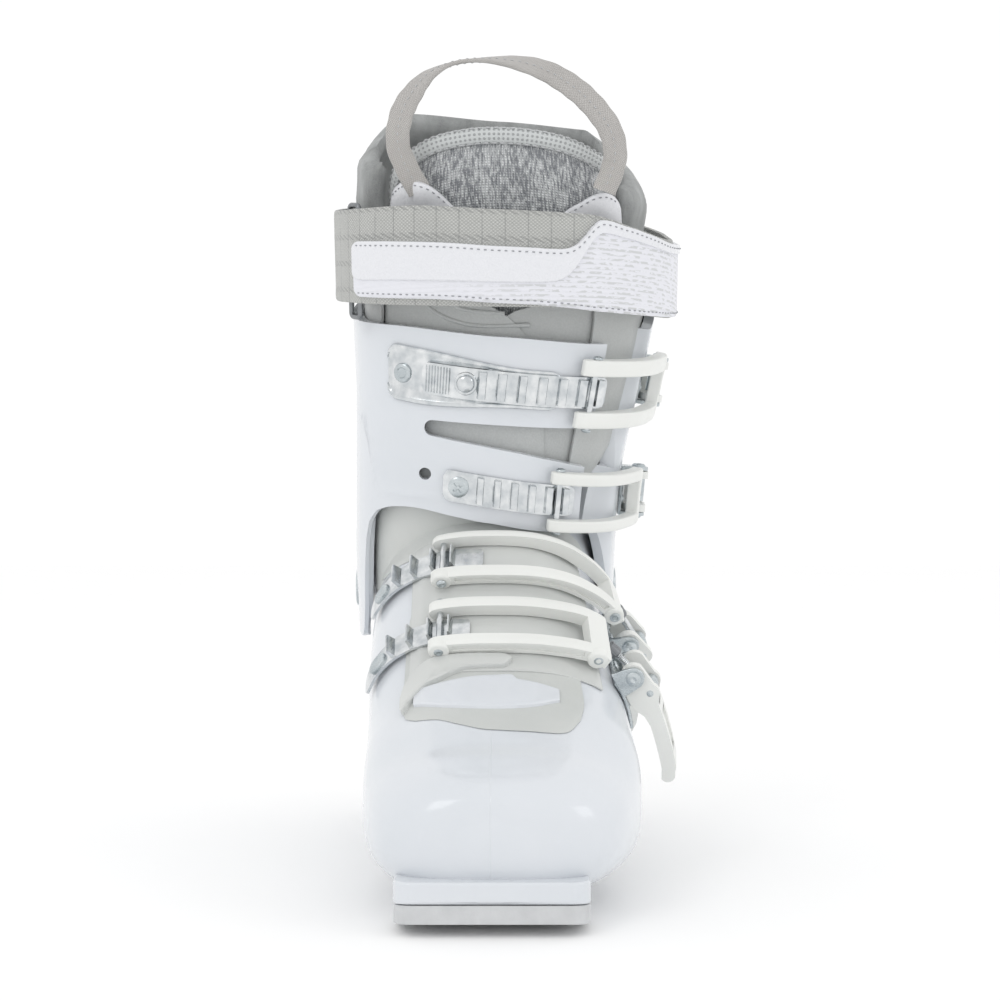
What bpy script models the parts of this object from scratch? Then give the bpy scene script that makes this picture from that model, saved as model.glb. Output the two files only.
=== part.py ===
"""Alpine ski boot, left foot.

A moulded lower shell with two sole pads, a hinged cuff, a liner, a power strap
and four buckles.  World frame: the origin is the middle of the heel pad on the
ground, +Z is up, the toe points along -Y and the outer (lateral) side is +X.
All lengths below are millimetres and angles are degrees.
"""
import math

import bmesh
import bpy
from mathutils import Matrix, Vector

MM = 0.001
FIT = 0.3                      # gap left between neighbouring solids
SHELL_WALL = 4.5
CUFF_WALL = 4.5
CUT = "cutter"

# The lower shell is a fan of sections.  Each row is one section: the point at
# the sole or heel (y, z), the point at the toe cap or instep (y, z), the half
# widths of the medial and lateral sides, how far up the section it is widest,
# and how square it is.
SHELL_ROWS = [
    (-254.0, 20.0, -254.0, 38.0, 14.0, 15.0, 0.50, 2.2),
    (-251.5, 12.5, -251.5, 47.0, 27.0, 29.0, 0.46, 2.4),
    (-244.0, 8.0, -244.0, 53.0, 37.5, 42.0, 0.45, 2.6),
    (-230.0, 5.5, -230.0, 58.5, 45.0, 51.0, 0.45, 2.8),
    (-210.0, 4.5, -210.0, 65.0, 48.8, 56.0, 0.45, 3.0),
    (-190.0, 4.5, -190.0, 73.5, 50.0, 57.5, 0.47, 3.0),
    (-170.0, 4.5, -172.0, 82.0, 50.5, 57.0, 0.48, 3.0),
    (-145.0, 6.0, -159.0, 93.0, 51.0, 55.5, 0.50, 2.9),
    (-115.0, 10.0, -146.0, 107.0, 52.0, 53.5, 0.52, 2.8),
    (-80.0, 14.0, -135.0, 120.0, 53.0, 51.0, 0.55, 2.7),
    (-42.0, 13.0, -126.0, 131.0, 53.5, 49.0, 0.58, 2.6),
    (-5.0, 10.5, -119.0, 139.0, 53.5, 48.0, 0.60, 2.5),
    (26.0, 14.0, -115.0, 144.0, 53.5, 47.5, 0.60, 2.5),
    (35.0, 38.0, -113.0, 148.0, 53.5, 47.5, 0.60, 2.4),
    (32.0, 68.0, -111.5, 151.0, 53.5, 47.5, 0.55, 2.3),
    (23.0, 98.0, -110.5, 153.5, 53.5, 47.5, 0.50, 2.3),
    (10.0, 125.0, -110.0, 155.5, 53.5, 47.5, 0.50, 2.3),
    (-8.0, 150.0, -109.5, 157.0, 53.0, 47.5, 0.50, 2.3),
]
SHELL_RIM = len(SHELL_ROWS) - 1.0

# The cuff leans forward about the line through its two pivots.  Each row is a
# height along the leaning axis, then how far the wall is in front of the axis,
# behind it, and to the medial and lateral side.
PIVOT = Vector((0.0, -52.0, 115.0))
LEAN = math.radians(12.0)
UP = Vector((0.0, -math.sin(LEAN), math.cos(LEAN)))
BACK = Vector((0.0, math.cos(LEAN), math.sin(LEAN)))
CUFF_ROWS = [
    (-20.0, 62.0, 73.0, 62.0, 55.0),
    (20.0, 62.0, 70.0, 63.0, 55.5),
    (60.0, 62.5, 66.0, 62.5, 58.5),
    (100.0, 61.5, 61.0, 62.0, 66.5),
    (130.0, 61.0, 57.0, 62.5, 72.0),
    (165.0, 60.0, 52.0, 60.0, 71.0),
    (210.0, 58.0, 48.0, 57.0, 64.0),
]
CUFF_POWER = 2.5
FLAP_END = 307.0               # the medial flap wraps over the front to here
LATERAL_EDGE = -48.0           # the lateral side starts under the flap here

COLLAR_LOW, TONGUE_LOW = 52.5, 58.0
STRAP_LOW, STRAP_HIGH = 136.0, 178.0
LOOP_AXIS_Z, LOOP_AXIS_Y = 288.0, -148.0

COLOURS = {                    # base colour, roughness, metallic
    "shell_plastic": ((0.80, 0.82, 0.90), 0.18, 0.0),
    "bail_plastic": ((0.77, 0.78, 0.74), 0.40, 0.0),
    "sole_rubber": ((0.62, 0.63, 0.64), 0.60, 0.0),
    "soft_grey": ((0.60, 0.62, 0.60), 0.50, 0.0),
    "grey_flap": ((0.55, 0.56, 0.55), 0.20, 0.0),
    "chrome": ((0.80, 0.84, 0.88), 0.12, 1.0),
    "zinc": ((0.62, 0.72, 0.80), 0.25, 1.0),
    "dark_steel": ((0.25, 0.26, 0.27), 0.30, 1.0),
    "velvet": ((0.30, 0.33, 0.32), 0.90, 0.0),
    "knit": ((0.35, 0.36, 0.38), 0.90, 0.0),
    "liner_foam": ((0.45, 0.46, 0.46), 0.90, 0.0),
    "white_leather": ((0.75, 0.76, 0.76), 0.45, 0.0),
    "webbing": ((0.50, 0.50, 0.47), 0.85, 0.0),
    "loop_webbing": ((0.42, 0.40, 0.40), 0.85, 0.0),
    "board_plastic": ((0.20, 0.20, 0.21), 0.60, 0.0),
}


# ---------------------------------------------------------------- tools

def clear_scene():
    for old in list(bpy.data.objects):
        bpy.data.objects.remove(old, do_unlink=True)


def make_materials():
    made = {}
    for name, (colour, roughness, metallic) in COLOURS.items():
        material = bpy.data.materials.new(name)
        material.use_nodes = True
        shader = material.node_tree.nodes["Principled BSDF"]
        shader.inputs["Base Color"].default_value = (*colour, 1.0)
        shader.inputs["Roughness"].default_value = roughness
        shader.inputs["Metallic"].default_value = metallic
        made[name] = material
    return made


def add_object(name, points, faces, slot):
    """A mesh object from points in millimetres; a cutter has no slot."""
    mesh = bpy.data.meshes.new(name)
    mesh.from_pydata([tuple(p * MM for p in point) for point in points], [], faces)
    shape = bmesh.new()
    shape.from_mesh(mesh)
    bmesh.ops.recalc_face_normals(shape, faces=shape.faces)
    shape.to_mesh(mesh)
    shape.free()
    mesh.shade_smooth()
    mesh.set_sharp_from_angle(angle=math.radians(35.0))
    thing = bpy.data.objects.new(name, mesh)
    bpy.context.collection.objects.link(thing)
    if slot == CUT:
        thing.hide_render = True
        thing.display_type = "WIRE"
    else:
        mesh.materials.append(MATERIALS[slot])
    return thing


def boolean(thing, cutter, operation="DIFFERENCE"):
    modifier = thing.modifiers.new(operation.lower(), "BOOLEAN")
    modifier.operation = operation
    modifier.object = cutter
    modifier.solver = "EXACT"


def blend_rows(rows, position):
    """Catmull-Rom interpolation between the rows of a table."""
    position = max(0.0, min(len(rows) - 1.0, position))
    first = min(int(position), len(rows) - 2)
    f = position - first
    before, a, b, after = (rows[max(0, min(len(rows) - 1, first + k))] for k in (-1, 0, 1, 2))
    return [0.5 * (2 * q + (r - p) * f + (2 * p - 5 * q + 4 * r - s) * f * f
                   + (3 * q - p - 3 * r + s) * f ** 3)
            for p, q, r, s in zip(before, a, b, after)]


def ease(value, start, end):
    """0 before start, 1 after end, smooth between."""
    f = max(0.0, min(1.0, (value - start) / (end - start)))
    return f * f * (3.0 - 2.0 * f)


def spread(start, end, steps):
    return [start + (end - start) * k / steps for k in range(steps + 1)]


def rounded(value, power):
    """Superellipse coordinate of a cosine or sine."""
    return math.copysign(abs(value) ** (2.0 / power), value)


def thick_grid(name, outer, inner, slot, present=None, wrap=False, cap=False):
    """A sheet between two point grids of the same size, with missing cells left open.

    wrap joins the last column to the first; cap closes the first row with a face.
    """
    rows, columns = len(outer), len(outer[0])
    points = [p for row in outer for p in row] + [p for row in inner for p in row]
    shift = rows * columns
    cell_columns = columns if wrap else columns - 1

    def corner(i, j):
        return i * columns + j % columns

    def here(i, j):
        if wrap:
            j %= columns
        if not (0 <= i < rows - 1 and 0 <= j < cell_columns):
            return False
        return present is None or present(i, j)

    faces = []
    for i in range(rows - 1):
        for j in range(cell_columns):
            if not here(i, j):
                continue
            a, b, c, d = corner(i, j), corner(i, j + 1), corner(i + 1, j + 1), corner(i + 1, j)
            faces.append((a, b, c, d))
            faces.append((d + shift, c + shift, b + shift, a + shift))
            sides = [((i - 1, j), a, b), ((i, j + 1), b, c), ((i + 1, j), c, d), ((i, j - 1), d, a)]
            for neighbour, p, q in sides:
                capped = cap and neighbour[0] < 0
                if not capped and not here(*neighbour):
                    faces.append((q, p, p + shift, q + shift))
    if cap:
        faces.append(tuple(corner(0, j) for j in reversed(range(columns))))
        faces.append(tuple(corner(0, j) + shift for j in range(columns)))
    used = sorted({v for face in faces for v in face})
    renumber = {old: new for new, old in enumerate(used)}
    faces = [tuple(renumber[v] for v in face) for face in faces]
    return add_object(name, [points[v] for v in used], faces, slot)


def loft(name, sections, slot):
    """A closed solid through sections of equal length, with flat ends."""
    count = len(sections[0])
    faces = [tuple(reversed(range(count)))]
    for i in range(len(sections) - 1):
        for j in range(count):
            k = (j + 1) % count
            faces.append((i * count + j, i * count + k, (i + 1) * count + k, (i + 1) * count + j))
    last = (len(sections) - 1) * count
    faces.append(tuple(last + j for j in range(count)))
    return add_object(name, [p for section in sections for p in section], faces, slot)


def prism(name, outline, low, high, frame, slot):
    """An outline in the frame's first two axes, pushed along its third axis."""
    sections = [[frame @ Vector((a, b, w)) for a, b in outline] for w in (low, high)]
    return loft(name, sections, slot)


def rod(name, start, end, radius, slot, sides=16):
    """A round bar between two points."""
    start, end = Vector(start), Vector(end)
    outline = circle((0.0, 0.0), radius, sides)
    return prism(name, outline, 0.0, (end - start).length, frame_along(start, end - start), slot)


def turned(name, profile, frame, slot, sides=20):
    """A closed solid of revolution: profile rows are (height, radius) along the frame's third axis."""
    sections = []
    for height, radius in profile:
        ring = circle((0.0, 0.0), radius, sides)
        sections.append([frame @ Vector((a, b, height)) for a, b in ring])
    return loft(name, sections, slot)


def arc(centre, radius, start, end, steps):
    return [(centre[0] + radius * math.cos(math.radians(a)),
             centre[1] + radius * math.sin(math.radians(a))) for a in spread(start, end, steps)]


def circle(centre, radius, sides):
    return arc(centre, radius, 0.0, 360.0 - 360.0 / sides, sides - 1)


def frame_along(origin, direction):
    """A frame whose third axis is the direction."""
    third = Vector(direction).normalized()
    side = Vector((0.0, 0.0, 1.0)) if abs(third.z) < 0.9 else Vector((1.0, 0.0, 0.0))
    first = side.cross(third).normalized()
    return frame_from(origin, first, third.cross(first), third)


def frame_from(origin, first, second, third):
    matrix = Matrix((first, second, third)).transposed().to_4x4()
    matrix.translation = Vector(origin)
    return matrix


# ---------------------------------------------------------------- the two main surfaces

def shell_point(position, angle, shrink=0.0, lift=0.0):
    """Lower shell outside: angle -90 is the sole, 0 lateral, 90 the instep, 180 medial."""
    row = blend_rows(SHELL_ROWS, position)
    sole, top = Vector((0.0, row[0], row[1])), Vector((0.0, row[2], row[3]))
    medial, lateral, widest, power = row[4:]
    along = (top - sole).normalized()
    sole, top = sole + along * (shrink + lift), top - along * shrink
    half = (lateral if math.cos(math.radians(angle)) > 0 else medial) - shrink
    across = rounded(math.cos(math.radians(angle)), power) * half
    up = rounded(math.sin(math.radians(angle)), power)
    share = widest + (1.0 - widest) * up if up > 0 else widest + widest * up
    return sole.lerp(top, share) + Vector((across, 0.0, 0.0))


def shell_at(position, angle, offset):
    """A point at an offset from the lower shell's outside, and the direction out of it."""
    return offset_point(shell_point, position, angle, 0.05, 2.0, offset)


def cuff_point(height, angle):
    """Cuff outside: angle 0 is lateral, 90 the back, 180 medial, 270 the front."""
    heights = [row[0] for row in CUFF_ROWS]
    height_in_range = max(heights[0], min(heights[-1], height))
    k = max(i for i in range(len(heights) - 1) if heights[i] <= height_in_range)
    position = k + (height_in_range - heights[k]) / (heights[k + 1] - heights[k])
    front, back, medial, lateral = blend_rows([row[1:] for row in CUFF_ROWS], position)
    middle, half = (lateral - medial) / 2.0, (lateral + medial) / 2.0
    across = middle + half * rounded(math.cos(math.radians(angle)), CUFF_POWER)
    depth = rounded(math.sin(math.radians(angle)), CUFF_POWER)
    depth *= back if depth > 0 else front
    return PIVOT + UP * height + BACK * depth + Vector((across, 0.0, 0.0))


def cuff_at(height, angle, offset):
    return offset_point(cuff_point, height, angle, 3.0, 2.0, offset)


def offset_point(surface, u, v, du, dv, offset):
    """The surface point moved out along its normal."""
    along_u = surface(u + du, v) - surface(u - du, v)
    along_v = surface(u, v + dv) - surface(u, v - dv)
    normal = along_v.cross(along_u).normalized()
    if surface is shell_point:
        normal.negate()
    return surface(u, v) + normal * offset


def surface_sheet(name, at, us, vs, outside, inside, slot, present=None, wrap=False, cap=False):
    """A sheet on one of the surfaces; outside and inside give the offsets at (u, v)."""
    def grid(offset):
        return [[at(u, v, offset(u, v)) for v in vs] for u in us]
    return thick_grid(name, grid(outside), grid(inside), slot, present, wrap, cap)


def fixed(value):
    """A function that always gives this value."""
    return lambda *place: value


# ---------------------------------------------------------------- lower shell

RING_STEPS = 28
THROAT_START, THROAT_HALF = 6.8, 24.0     # first section and half angle of the instep slot
SOLE_BREAK_Y, SOLE_BREAK_Z = -205.0, 4.5  # where the toe sole starts to rise
TOE_TIP_Y, TOE_TIP_Z = -260.0, 11.6       # its upper face at the tip


def shell_solid(name, positions, shrink, slot, rise=0.0):
    """A closed solid of the lower shell's sections, run on upward by rise."""
    angles = spread(-90.0, 270.0, RING_STEPS)[:-1]
    rings = [[shell_at(t, a, -shrink) for a in angles] for t in positions]
    if rise:
        rings.append([p + Vector((0.0, 0.0, rise)) for p in rings[-1]])
    return loft(name, rings, slot)


def lug(name, outline, low, high, slot):
    """An upright prism whose underside and top are functions of y."""
    return loft(name, [[Vector((x, y, height(y))) for x, y in outline] for height in (low, high)], slot)


def toe_plan(half, radius, back_y, back_half):
    """Plan of the toe lug: straight front with round corners."""
    front = TOE_TIP_Y
    right = arc((half - radius, front + radius), radius, -90.0, 0.0, 4)
    left = [(-x, y) for x, y in reversed(right)]
    return right + [(back_half, back_y), (-back_half, back_y)] + left


def sole_line(y):
    """Height of the joint between the shell and the toe sole."""
    share = max(0.0, (SOLE_BREAK_Y - y) / (SOLE_BREAK_Y - TOE_TIP_Y))
    return SOLE_BREAK_Z + (TOE_TIP_Z - SOLE_BREAK_Z) * share


def lower_shell():
    sections = list(range(2, len(SHELL_ROWS)))
    shell = shell_solid("lower_shell", [0.0, 0.5, 1.0, 1.5, *sections], 0.0, "shell_plastic")
    hollow = shell_solid("shell_hollow", [0.35, 1.0, *sections], SHELL_WALL, CUT, rise=12.0)
    toe = lug("toe_lug", toe_plan(34.5, 7.0, -222.0, 34.5), lambda y: 2.0, lambda y: 19.2, CUT)
    heel_outline = [(33.0, 8.0), *arc((25.0, 32.0), 8.0, 0.0, 90.0, 4),
                    *arc((-25.0, 32.0), 8.0, 90.0, 180.0, 4), (-33.0, 8.0)]
    heel = lug("heel_lug", heel_outline, lambda y: 10.0 + FIT, lambda y: 30.0, CUT)
    rise = (TOE_TIP_Z - SOLE_BREAK_Z) / (SOLE_BREAK_Y - TOE_TIP_Y)
    far = 30.0
    wedge_side = [(SOLE_BREAK_Y, SOLE_BREAK_Z), (TOE_TIP_Y - far, TOE_TIP_Z + rise * far),
                  (TOE_TIP_Y - far, -far), (SOLE_BREAK_Y, -far)]
    wedge = loft("sole_wedge", [[Vector((x, y, z)) for y, z in wedge_side] for x in (-70.0, 70.0)], CUT)
    sides = []
    for offset in (9.0, -13.0):
        rows = [[shell_at(t, a, offset) for a in spread(90.0 - THROAT_HALF, 90.0 + THROAT_HALF, 4)]
                for t in spread(THROAT_START, SHELL_RIM - 0.5, 9)]
        sides.append([*rows, [p + Vector((0.0, 0.0, 25.0)) for p in rows[-1]]])
    throat = thick_grid("throat_slot", *sides, CUT)
    for cutter, operation in ((toe, "UNION"), (heel, "UNION"), (hollow, "DIFFERENCE"),
                              (wedge, "DIFFERENCE"), (throat, "DIFFERENCE")):
        boolean(shell, cutter, operation)
    return shell


def sole_pads():
    tip_under = 4.7
    def under(y):
        return tip_under * max(0.0, (-215.0 - y) / 45.0) ** 1.5
    stations = [-260.0, -257.0, -250.0, -238.0, -226.0, -215.0, -205.0, -175.0, -148.0]
    halves = [28.0, 32.5, 34.5, 34.5, 35.0, 35.5, 36.0, 36.0, 33.0]
    sections = [[Vector((x, y, z)) for x, z in ((-h, under(y)), (h, under(y)),
                                                (h, sole_line(y) - FIT), (-h, sole_line(y) - FIT))]
                for y, h in zip(stations, halves)]
    loft("toe_sole", sections, "sole_rubber")
    outline = [(33.0, -28.0), *arc((25.0, 32.0), 8.0, 0.0, 90.0, 4),
               *arc((-25.0, 32.0), 8.0, 90.0, 180.0, 4), (-33.0, -28.0)]
    lug("heel_sole", outline, lambda y: 0.0, lambda y: 10.0, "sole_rubber")


def inner_boards():
    """Boot board under the liner and footbed inside it: (y, half width, underside, top)."""
    board = [(-226.0, 13.0, 13.2, 16.5), (-200.0, 22.0, 12.8, 17.0), (-150.0, 23.0, 15.0, 19.0),
             (-100.0, 20.0, 20.2, 23.5), (-50.0, 19.0, 22.0, 26.0), (-5.0, 17.0, 21.5, 26.0),
             (6.0, 13.0, 22.5, 26.0)]
    bed = [(-216.0, 10.0, 28.5, 31.0), (-200.0, 17.0, 28.5, 31.5), (-150.0, 19.0, 30.5, 34.0),
           (-100.0, 16.0, 37.5, 40.5), (-60.0, 15.0, 41.0, 44.5), (-15.0, 14.0, 41.5, 45.5),
           (-4.0, 9.0, 43.0, 46.0)]
    for name, rows, slot in (("boot_board", board, "board_plastic"), ("footbed", bed, "liner_foam")):
        loft(name, [[Vector((-h, y, a)), Vector((h, y, a)), Vector((h, y, b)), Vector((-h, y, b))]
                    for y, h, a, b in rows], slot)


def liner_foot():
    """The padded foot of the liner: a sock with an open instep, lifted off the boot board."""
    positions = [2.25, 2.5, 3.0, 4.0, 5.0, 6.0, 7.0, 8.0, 9.0, 10.0, 11.0, 12.0, 13.0, 14.4]
    toe_round = [13.0, 5.0, 1.0] + [0.0] * 11
    lift = {t: 9.0 + 8.0 * ease(t, 9.0, 11.0) - 10.0 * ease(t, 11.3, 13.0) for t in positions}
    steps = 20
    angles = spread(-90.0, 270.0, steps)[:-1]
    skins = []
    for depth in (SHELL_WALL + 1.7, SHELL_WALL + 7.5):
        skins.append([[shell_point(t + (0.25 if depth > 6.0 and t < 3.0 else 0.0), a, depth + toe, lift[t])
                       for a in angles] for t, toe in zip(positions, toe_round)])
    def present(i, j):
        middle = angles[j] + 180.0 / steps
        return positions[i] < THROAT_START or abs(middle - 90.0) > THROAT_HALF
    thick_grid("liner_foot", skins[0], skins[1], "liner_foam", present, wrap=True, cap=True)


def throat_parts():
    surface_sheet("instep_gasket", shell_at, spread(5.3, 6.5, 3), spread(58.0, 126.0, 12),
                  fixed(2.0), fixed(0.8), "soft_grey")
    surface_sheet("throat_flap", shell_at, spread(6.65, 10.6, 7), spread(52.0, 122.0, 10),
                  fixed(1.6), fixed(FIT + 0.1), "grey_flap")


# ---------------------------------------------------------------- cuff and soft parts

def cuff_inset(angle):
    """The lateral edge runs inside the flap."""
    return -(CUFF_WALL + 1.5) * (1.0 - ease(angle, -44.0, -22.0))


def cuff_low(angle):
    front = ease(angle, 198.0, 224.0)
    lateral = 1.0 - ease(angle, -38.0, -14.0)
    return -17.0 + 61.0 * front - 4.0 * ease(angle, 235.0, 300.0) + 52.0 * lateral


def cuff_high(angle):
    back = math.exp(-((angle - 90.0) / 42.0) ** 2)
    return 121.0 + 8.0 * ease(angle, -30.0, 10.0) * (1.0 - ease(angle, 190.0, 230.0)) + 22.0 * back


def cuff():
    angles = spread(LATERAL_EDGE, FLAP_END, 40)
    levels = spread(0.0, 1.0, 6)
    def grid(offset):
        return [[cuff_at(cuff_low(a) + (cuff_high(a) - cuff_low(a)) * f, a, cuff_inset(a) + offset)
                 for a in angles] for f in levels]
    shell = thick_grid("cuff", grid(0.0), grid(-CUFF_WALL), "shell_plastic")
    slot_side = [*arc((-30.0, 79.5), 3.4, 90.0, 270.0, 6), (62.0, 57.5), (62.0, 78.0)]
    front = frame_from(PIVOT, Vector((1.0, 0.0, 0.0)), UP, -BACK)
    boolean(shell, prism("flap_slot", slot_side, 30.0, 80.0, front, CUT))
    hole = circle((-29.5, 61.0), 2.8, 12)
    boolean(shell, prism("flap_hole", hole, 30.0, 80.0, front, CUT))
    return shell


def collar_offset(height):
    return -12.5 + 7.5 * ease(height, 150.0, 163.0) + 3.0 * ease(height, 163.0, 178.0) \
        - 8.0 * ease(height, 190.0, 212.0)


def collar_high(angle):
    return 208.0 - 20.0 * ease(angle, 150.0, 215.0) - 22.0 * (1.0 - ease(angle, -35.0, 45.0))


def liner_sheet(name, at, angles, low, high, depth, slot):
    """A padded sheet of the liner between two edges, which are heights at each angle."""
    def grid(offset):
        return [[at(low(a) + (high(a) - low(a)) * f, a, -offset) for a in angles]
                for f in spread(0.0, 1.0, 8)]
    thick_grid(name, grid(0.0), grid(depth), slot)


def collar_surface(height, angle, offset):
    return cuff_at(height, angle, collar_offset(height) + offset)


def collar_low(angle):
    return COLLAR_LOW - 15.0 * math.sin(math.radians(max(0.0, min(180.0, angle))))


def tongue_surface(height, angle, offset):
    return cuff_at(height, angle, -13.0 + 4.0 * ease(height, 130.0, 200.0) + offset)


def tongue_high(angle):
    return 207.0 - 12.0 * abs((angle - 270.0) / 44.0) ** 3


def liner_upper():
    liner_sheet("liner_cuff", collar_surface, spread(-40.0, 218.0, 20), collar_low, collar_high,
                8.5, "velvet")
    liner_sheet("liner_tongue", tongue_surface, spread(226.0, 314.0, 8), fixed(TONGUE_LOW), tongue_high,
                9.0, "knit")


def loop_tabs():
    for side, low, high in (("medial", 229.0, 250.0), ("lateral", 288.0, 309.0)):
        surface_sheet(f"loop_tab_{side}", tongue_surface, spread(160.0, 186.0, 3), spread(low, high, 4),
                      fixed(2.4), fixed(FIT + 0.1), "white_leather")


def pull_loop():
    """Webbing bent over in one loop: a smooth curve through a few points of its middle line."""
    y = LOOP_AXIS_Y
    route = [(-31.0, y + 1.5, LOOP_AXIS_Z - 1.0), (-37.0, y, 301.0), (-39.5, y + 1.0, 314.0),
             (-32.0, y + 3.0, 328.0), (-12.0, y + 5.0, 336.0), (10.0, y + 5.0, 337.5),
             (30.0, y + 4.0, 331.0), (45.0, y + 2.0, 317.0), (51.0, y, 302.0),
             (46.5, y + 1.5, LOOP_AXIS_Z - 1.0)]
    half_width, half_thick, most_twist = 4.6, 0.9, 80.0
    rings = []
    for share in spread(0.0, 1.0, 27):
        position = (len(route) - 1) * share
        ahead = Vector(blend_rows(route, position + 0.05))
        behind = Vector(blend_rows(route, position - 0.05))
        along = (ahead - behind).normalized()
        front = Vector((0.0, -1.0, 0.0))
        front = (front - along * front.dot(along)).normalized()
        twist = math.radians(most_twist) * math.sin(math.pi * share) ** 2
        wide = along.cross(front) * math.cos(twist) + front * math.sin(twist)
        thick = along.cross(wide)
        here = Vector(blend_rows(route, position))
        rings.append([here + wide * a * half_width + thick * b * half_thick
                      for a, b in ((-1, -1), (1, -1), (1, 1), (-1, 1))])
    loft("pull_loop", rings, "loop_webbing")


STRAP_ROWS = (70.0, 60.0, 70.0, 82.0)      # front, back, medial, lateral


def strap_point(height, angle):
    front, back, medial, lateral = STRAP_ROWS
    middle, half = (lateral - medial) / 2.0, (lateral + medial) / 2.0
    across = middle + half * rounded(math.cos(math.radians(angle)), 2.6)
    depth = rounded(math.sin(math.radians(angle)), 2.6)
    depth *= back if depth > 0 else front
    return PIVOT + UP * height + BACK * depth + Vector((across, 0.0, 0.0))


def strap_at(height, angle, offset):
    return offset_point(strap_point, height, angle, 3.0, 2.0, offset)


def power_strap():
    surface_sheet("power_strap", strap_at, [STRAP_LOW, STRAP_HIGH], spread(0.0, 360.0, 44)[:-1],
                  fixed(0.0), fixed(-3.0), "webbing", wrap=True)
    surface_sheet("strap_pad", strap_at, spread(143.0, 172.0, 3), spread(203.0, 345.0, 24),
                  fixed(3.2), fixed(FIT), "white_leather")
    centre = strap_at((STRAP_LOW + STRAP_HIGH) / 2.0, 196.0, -1.5)
    ahead = strap_at((STRAP_LOW + STRAP_HIGH) / 2.0, 199.0, -1.5)
    along = (ahead - centre).normalized()
    ring = frame_from(centre, along.cross(UP).normalized(), UP, along)
    across, height = (-3.6, -2.0, 2.0, 3.6), (-24.5, -22.0, 22.0, 24.5)
    def level(w):
        return [[ring @ Vector((a, b, w)) for b in height] for a in across]
    thick_grid("strap_ring", level(1.2), level(-1.2), "dark_steel", present=lambda i, j: (i, j) != (1, 1))


# ---------------------------------------------------------------- fastenings

def cuff_pivots(shell, upper):
    """Two big rivets on the hinge line: shaft through both walls, head outside the cuff."""
    for side, sign, inside, outside in (("medial", -1.0, 49.2, 62.6), ("lateral", 1.0, 43.3, 55.2)):
        cutter = rod(f"pivot_hole_{side}", PIVOT + Vector((sign * 30.0, 0, 0)),
                     PIVOT + Vector((sign * 80.0, 0, 0)), 5.3, CUT)
        boolean(shell, cutter)
        boolean(upper, cutter)
        frame = frame_along(PIVOT + Vector((sign * inside, 0, 0)), Vector((sign, 0, 0)))
        head = outside - inside + 0.6
        turned(f"cuff_pivot_{side}", [(0.0, 5.0), (head, 5.0), (head, 9.0), (head + 1.4, 9.0),
                                      (head + 2.4, 7.0)], frame, "zinc", 20)


class SurfacePath:
    """A strip's middle line on one of the surfaces.

    s runs in millimetres from the buckle's hinge towards the ladder, w across it.
    """

    def __init__(self, at, surface, first_u, slope, start, end, width_is_u):
        self.at, self.surface, self.width_is_u = at, surface, width_is_u
        self.first_u, self.slope = first_u, slope
        self.angles = spread(start, end, 200)
        self.lengths = [0.0]
        for a, b in zip(self.angles, self.angles[1:]):
            step = (surface(first_u, b) - surface(first_u, a)).length
            self.lengths.append(self.lengths[-1] + step)

    def angle(self, s):
        if s <= 0.0:
            pace = (self.angles[1] - self.angles[0]) / self.lengths[1]
            return self.angles[0] + s * pace
        k = max(i for i, length in enumerate(self.lengths[:-1]) if length <= s)
        share = (s - self.lengths[k]) / (self.lengths[k + 1] - self.lengths[k])
        return self.angles[k] + share * (self.angles[k + 1] - self.angles[k])

    def distance(self, angle):
        step = self.angles[1] - self.angles[0]
        k = min(max(int((angle - self.angles[0]) / step), 0), len(self.angles) - 2)
        share = (angle - self.angles[k]) / step
        return self.lengths[k] + share * (self.lengths[k + 1] - self.lengths[k])

    def place(self, s, w, offset):
        angle = self.angle(s)
        u = self.first_u + self.slope * s
        if self.width_is_u:
            return self.at(u + w, angle, offset)
        scale = (self.surface(u + 0.1, angle) - self.surface(u - 0.1, angle)).length / 0.2
        return self.at(u + w / scale, angle, offset)


PATHS = {
    "toe": SurfacePath(shell_at, shell_point, 7.45, 0.0, 28.0, 168.0, False),
    "instep": SurfacePath(shell_at, shell_point, 9.66, 0.0, 14.0, 164.0, False),
    "mid": SurfacePath(cuff_at, cuff_point, 45.8, 0.12, 0.0, -140.0, True),
    "upper": SurfacePath(cuff_at, cuff_point, 96.0, 0.066, 6.0, -145.0, True),
}
HOOK_ANGLES = {"toe": 106.0, "instep": 106.0, "mid": -67.0, "upper": -59.5}
HINGE_HEIGHT = 8.5                       # hinge above the surface
LINKS = {"toe": (-9.2, 2.8), "instep": (-7.8, 5.6), "mid": (-9.5, 1.2), "upper": (-9.5, 1.2)}
LINK_ACROSS = 9.0
LEVERS = {"toe": (54.0, 0.0024), "instep": (50.0, 0.0030), "mid": (52.0, 0.0045), "upper": (54.0, 0.0045)}
CHEEK_IN, CHEEK_OUT = 6.0, 9.2
EAR_IN, EAR_OUT = 9.5, 11.3
PIN_RADIUS, HOLE_RADIUS = 1.6, 1.9
TRUNNION, TRUNNION_HOLE = 2.0, 2.3
BAIL_START, CROSS_LENGTH = 13.5, 7.0
ARM_IN, ARM_OUT = 8.4, 12.4
HOOK_RADIUS = 1.3
HOOK_OFFSETS = {"toe": 5.2, "instep": 5.2, "mid": 3.7, "upper": 4.8}
NUT_GAP = 1.7                            # from the barrel nut to the bail's end face


def hinge_frame(key):
    """Origin on the lever's hinge; axes: towards the ladder, out of the boot, across."""
    path = PATHS[key]
    foot = path.place(0.0, 0.0, 0.0)
    out = (path.place(0.0, 0.0, 10.0) - foot).normalized()
    towards = path.place(2.0, 0.0, 0.0) - path.place(-2.0, 0.0, 0.0)
    towards = (towards - out * towards.dot(out)).normalized()
    return frame_from(foot + out * HINGE_HEIGHT, towards, out, towards.cross(out))


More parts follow.
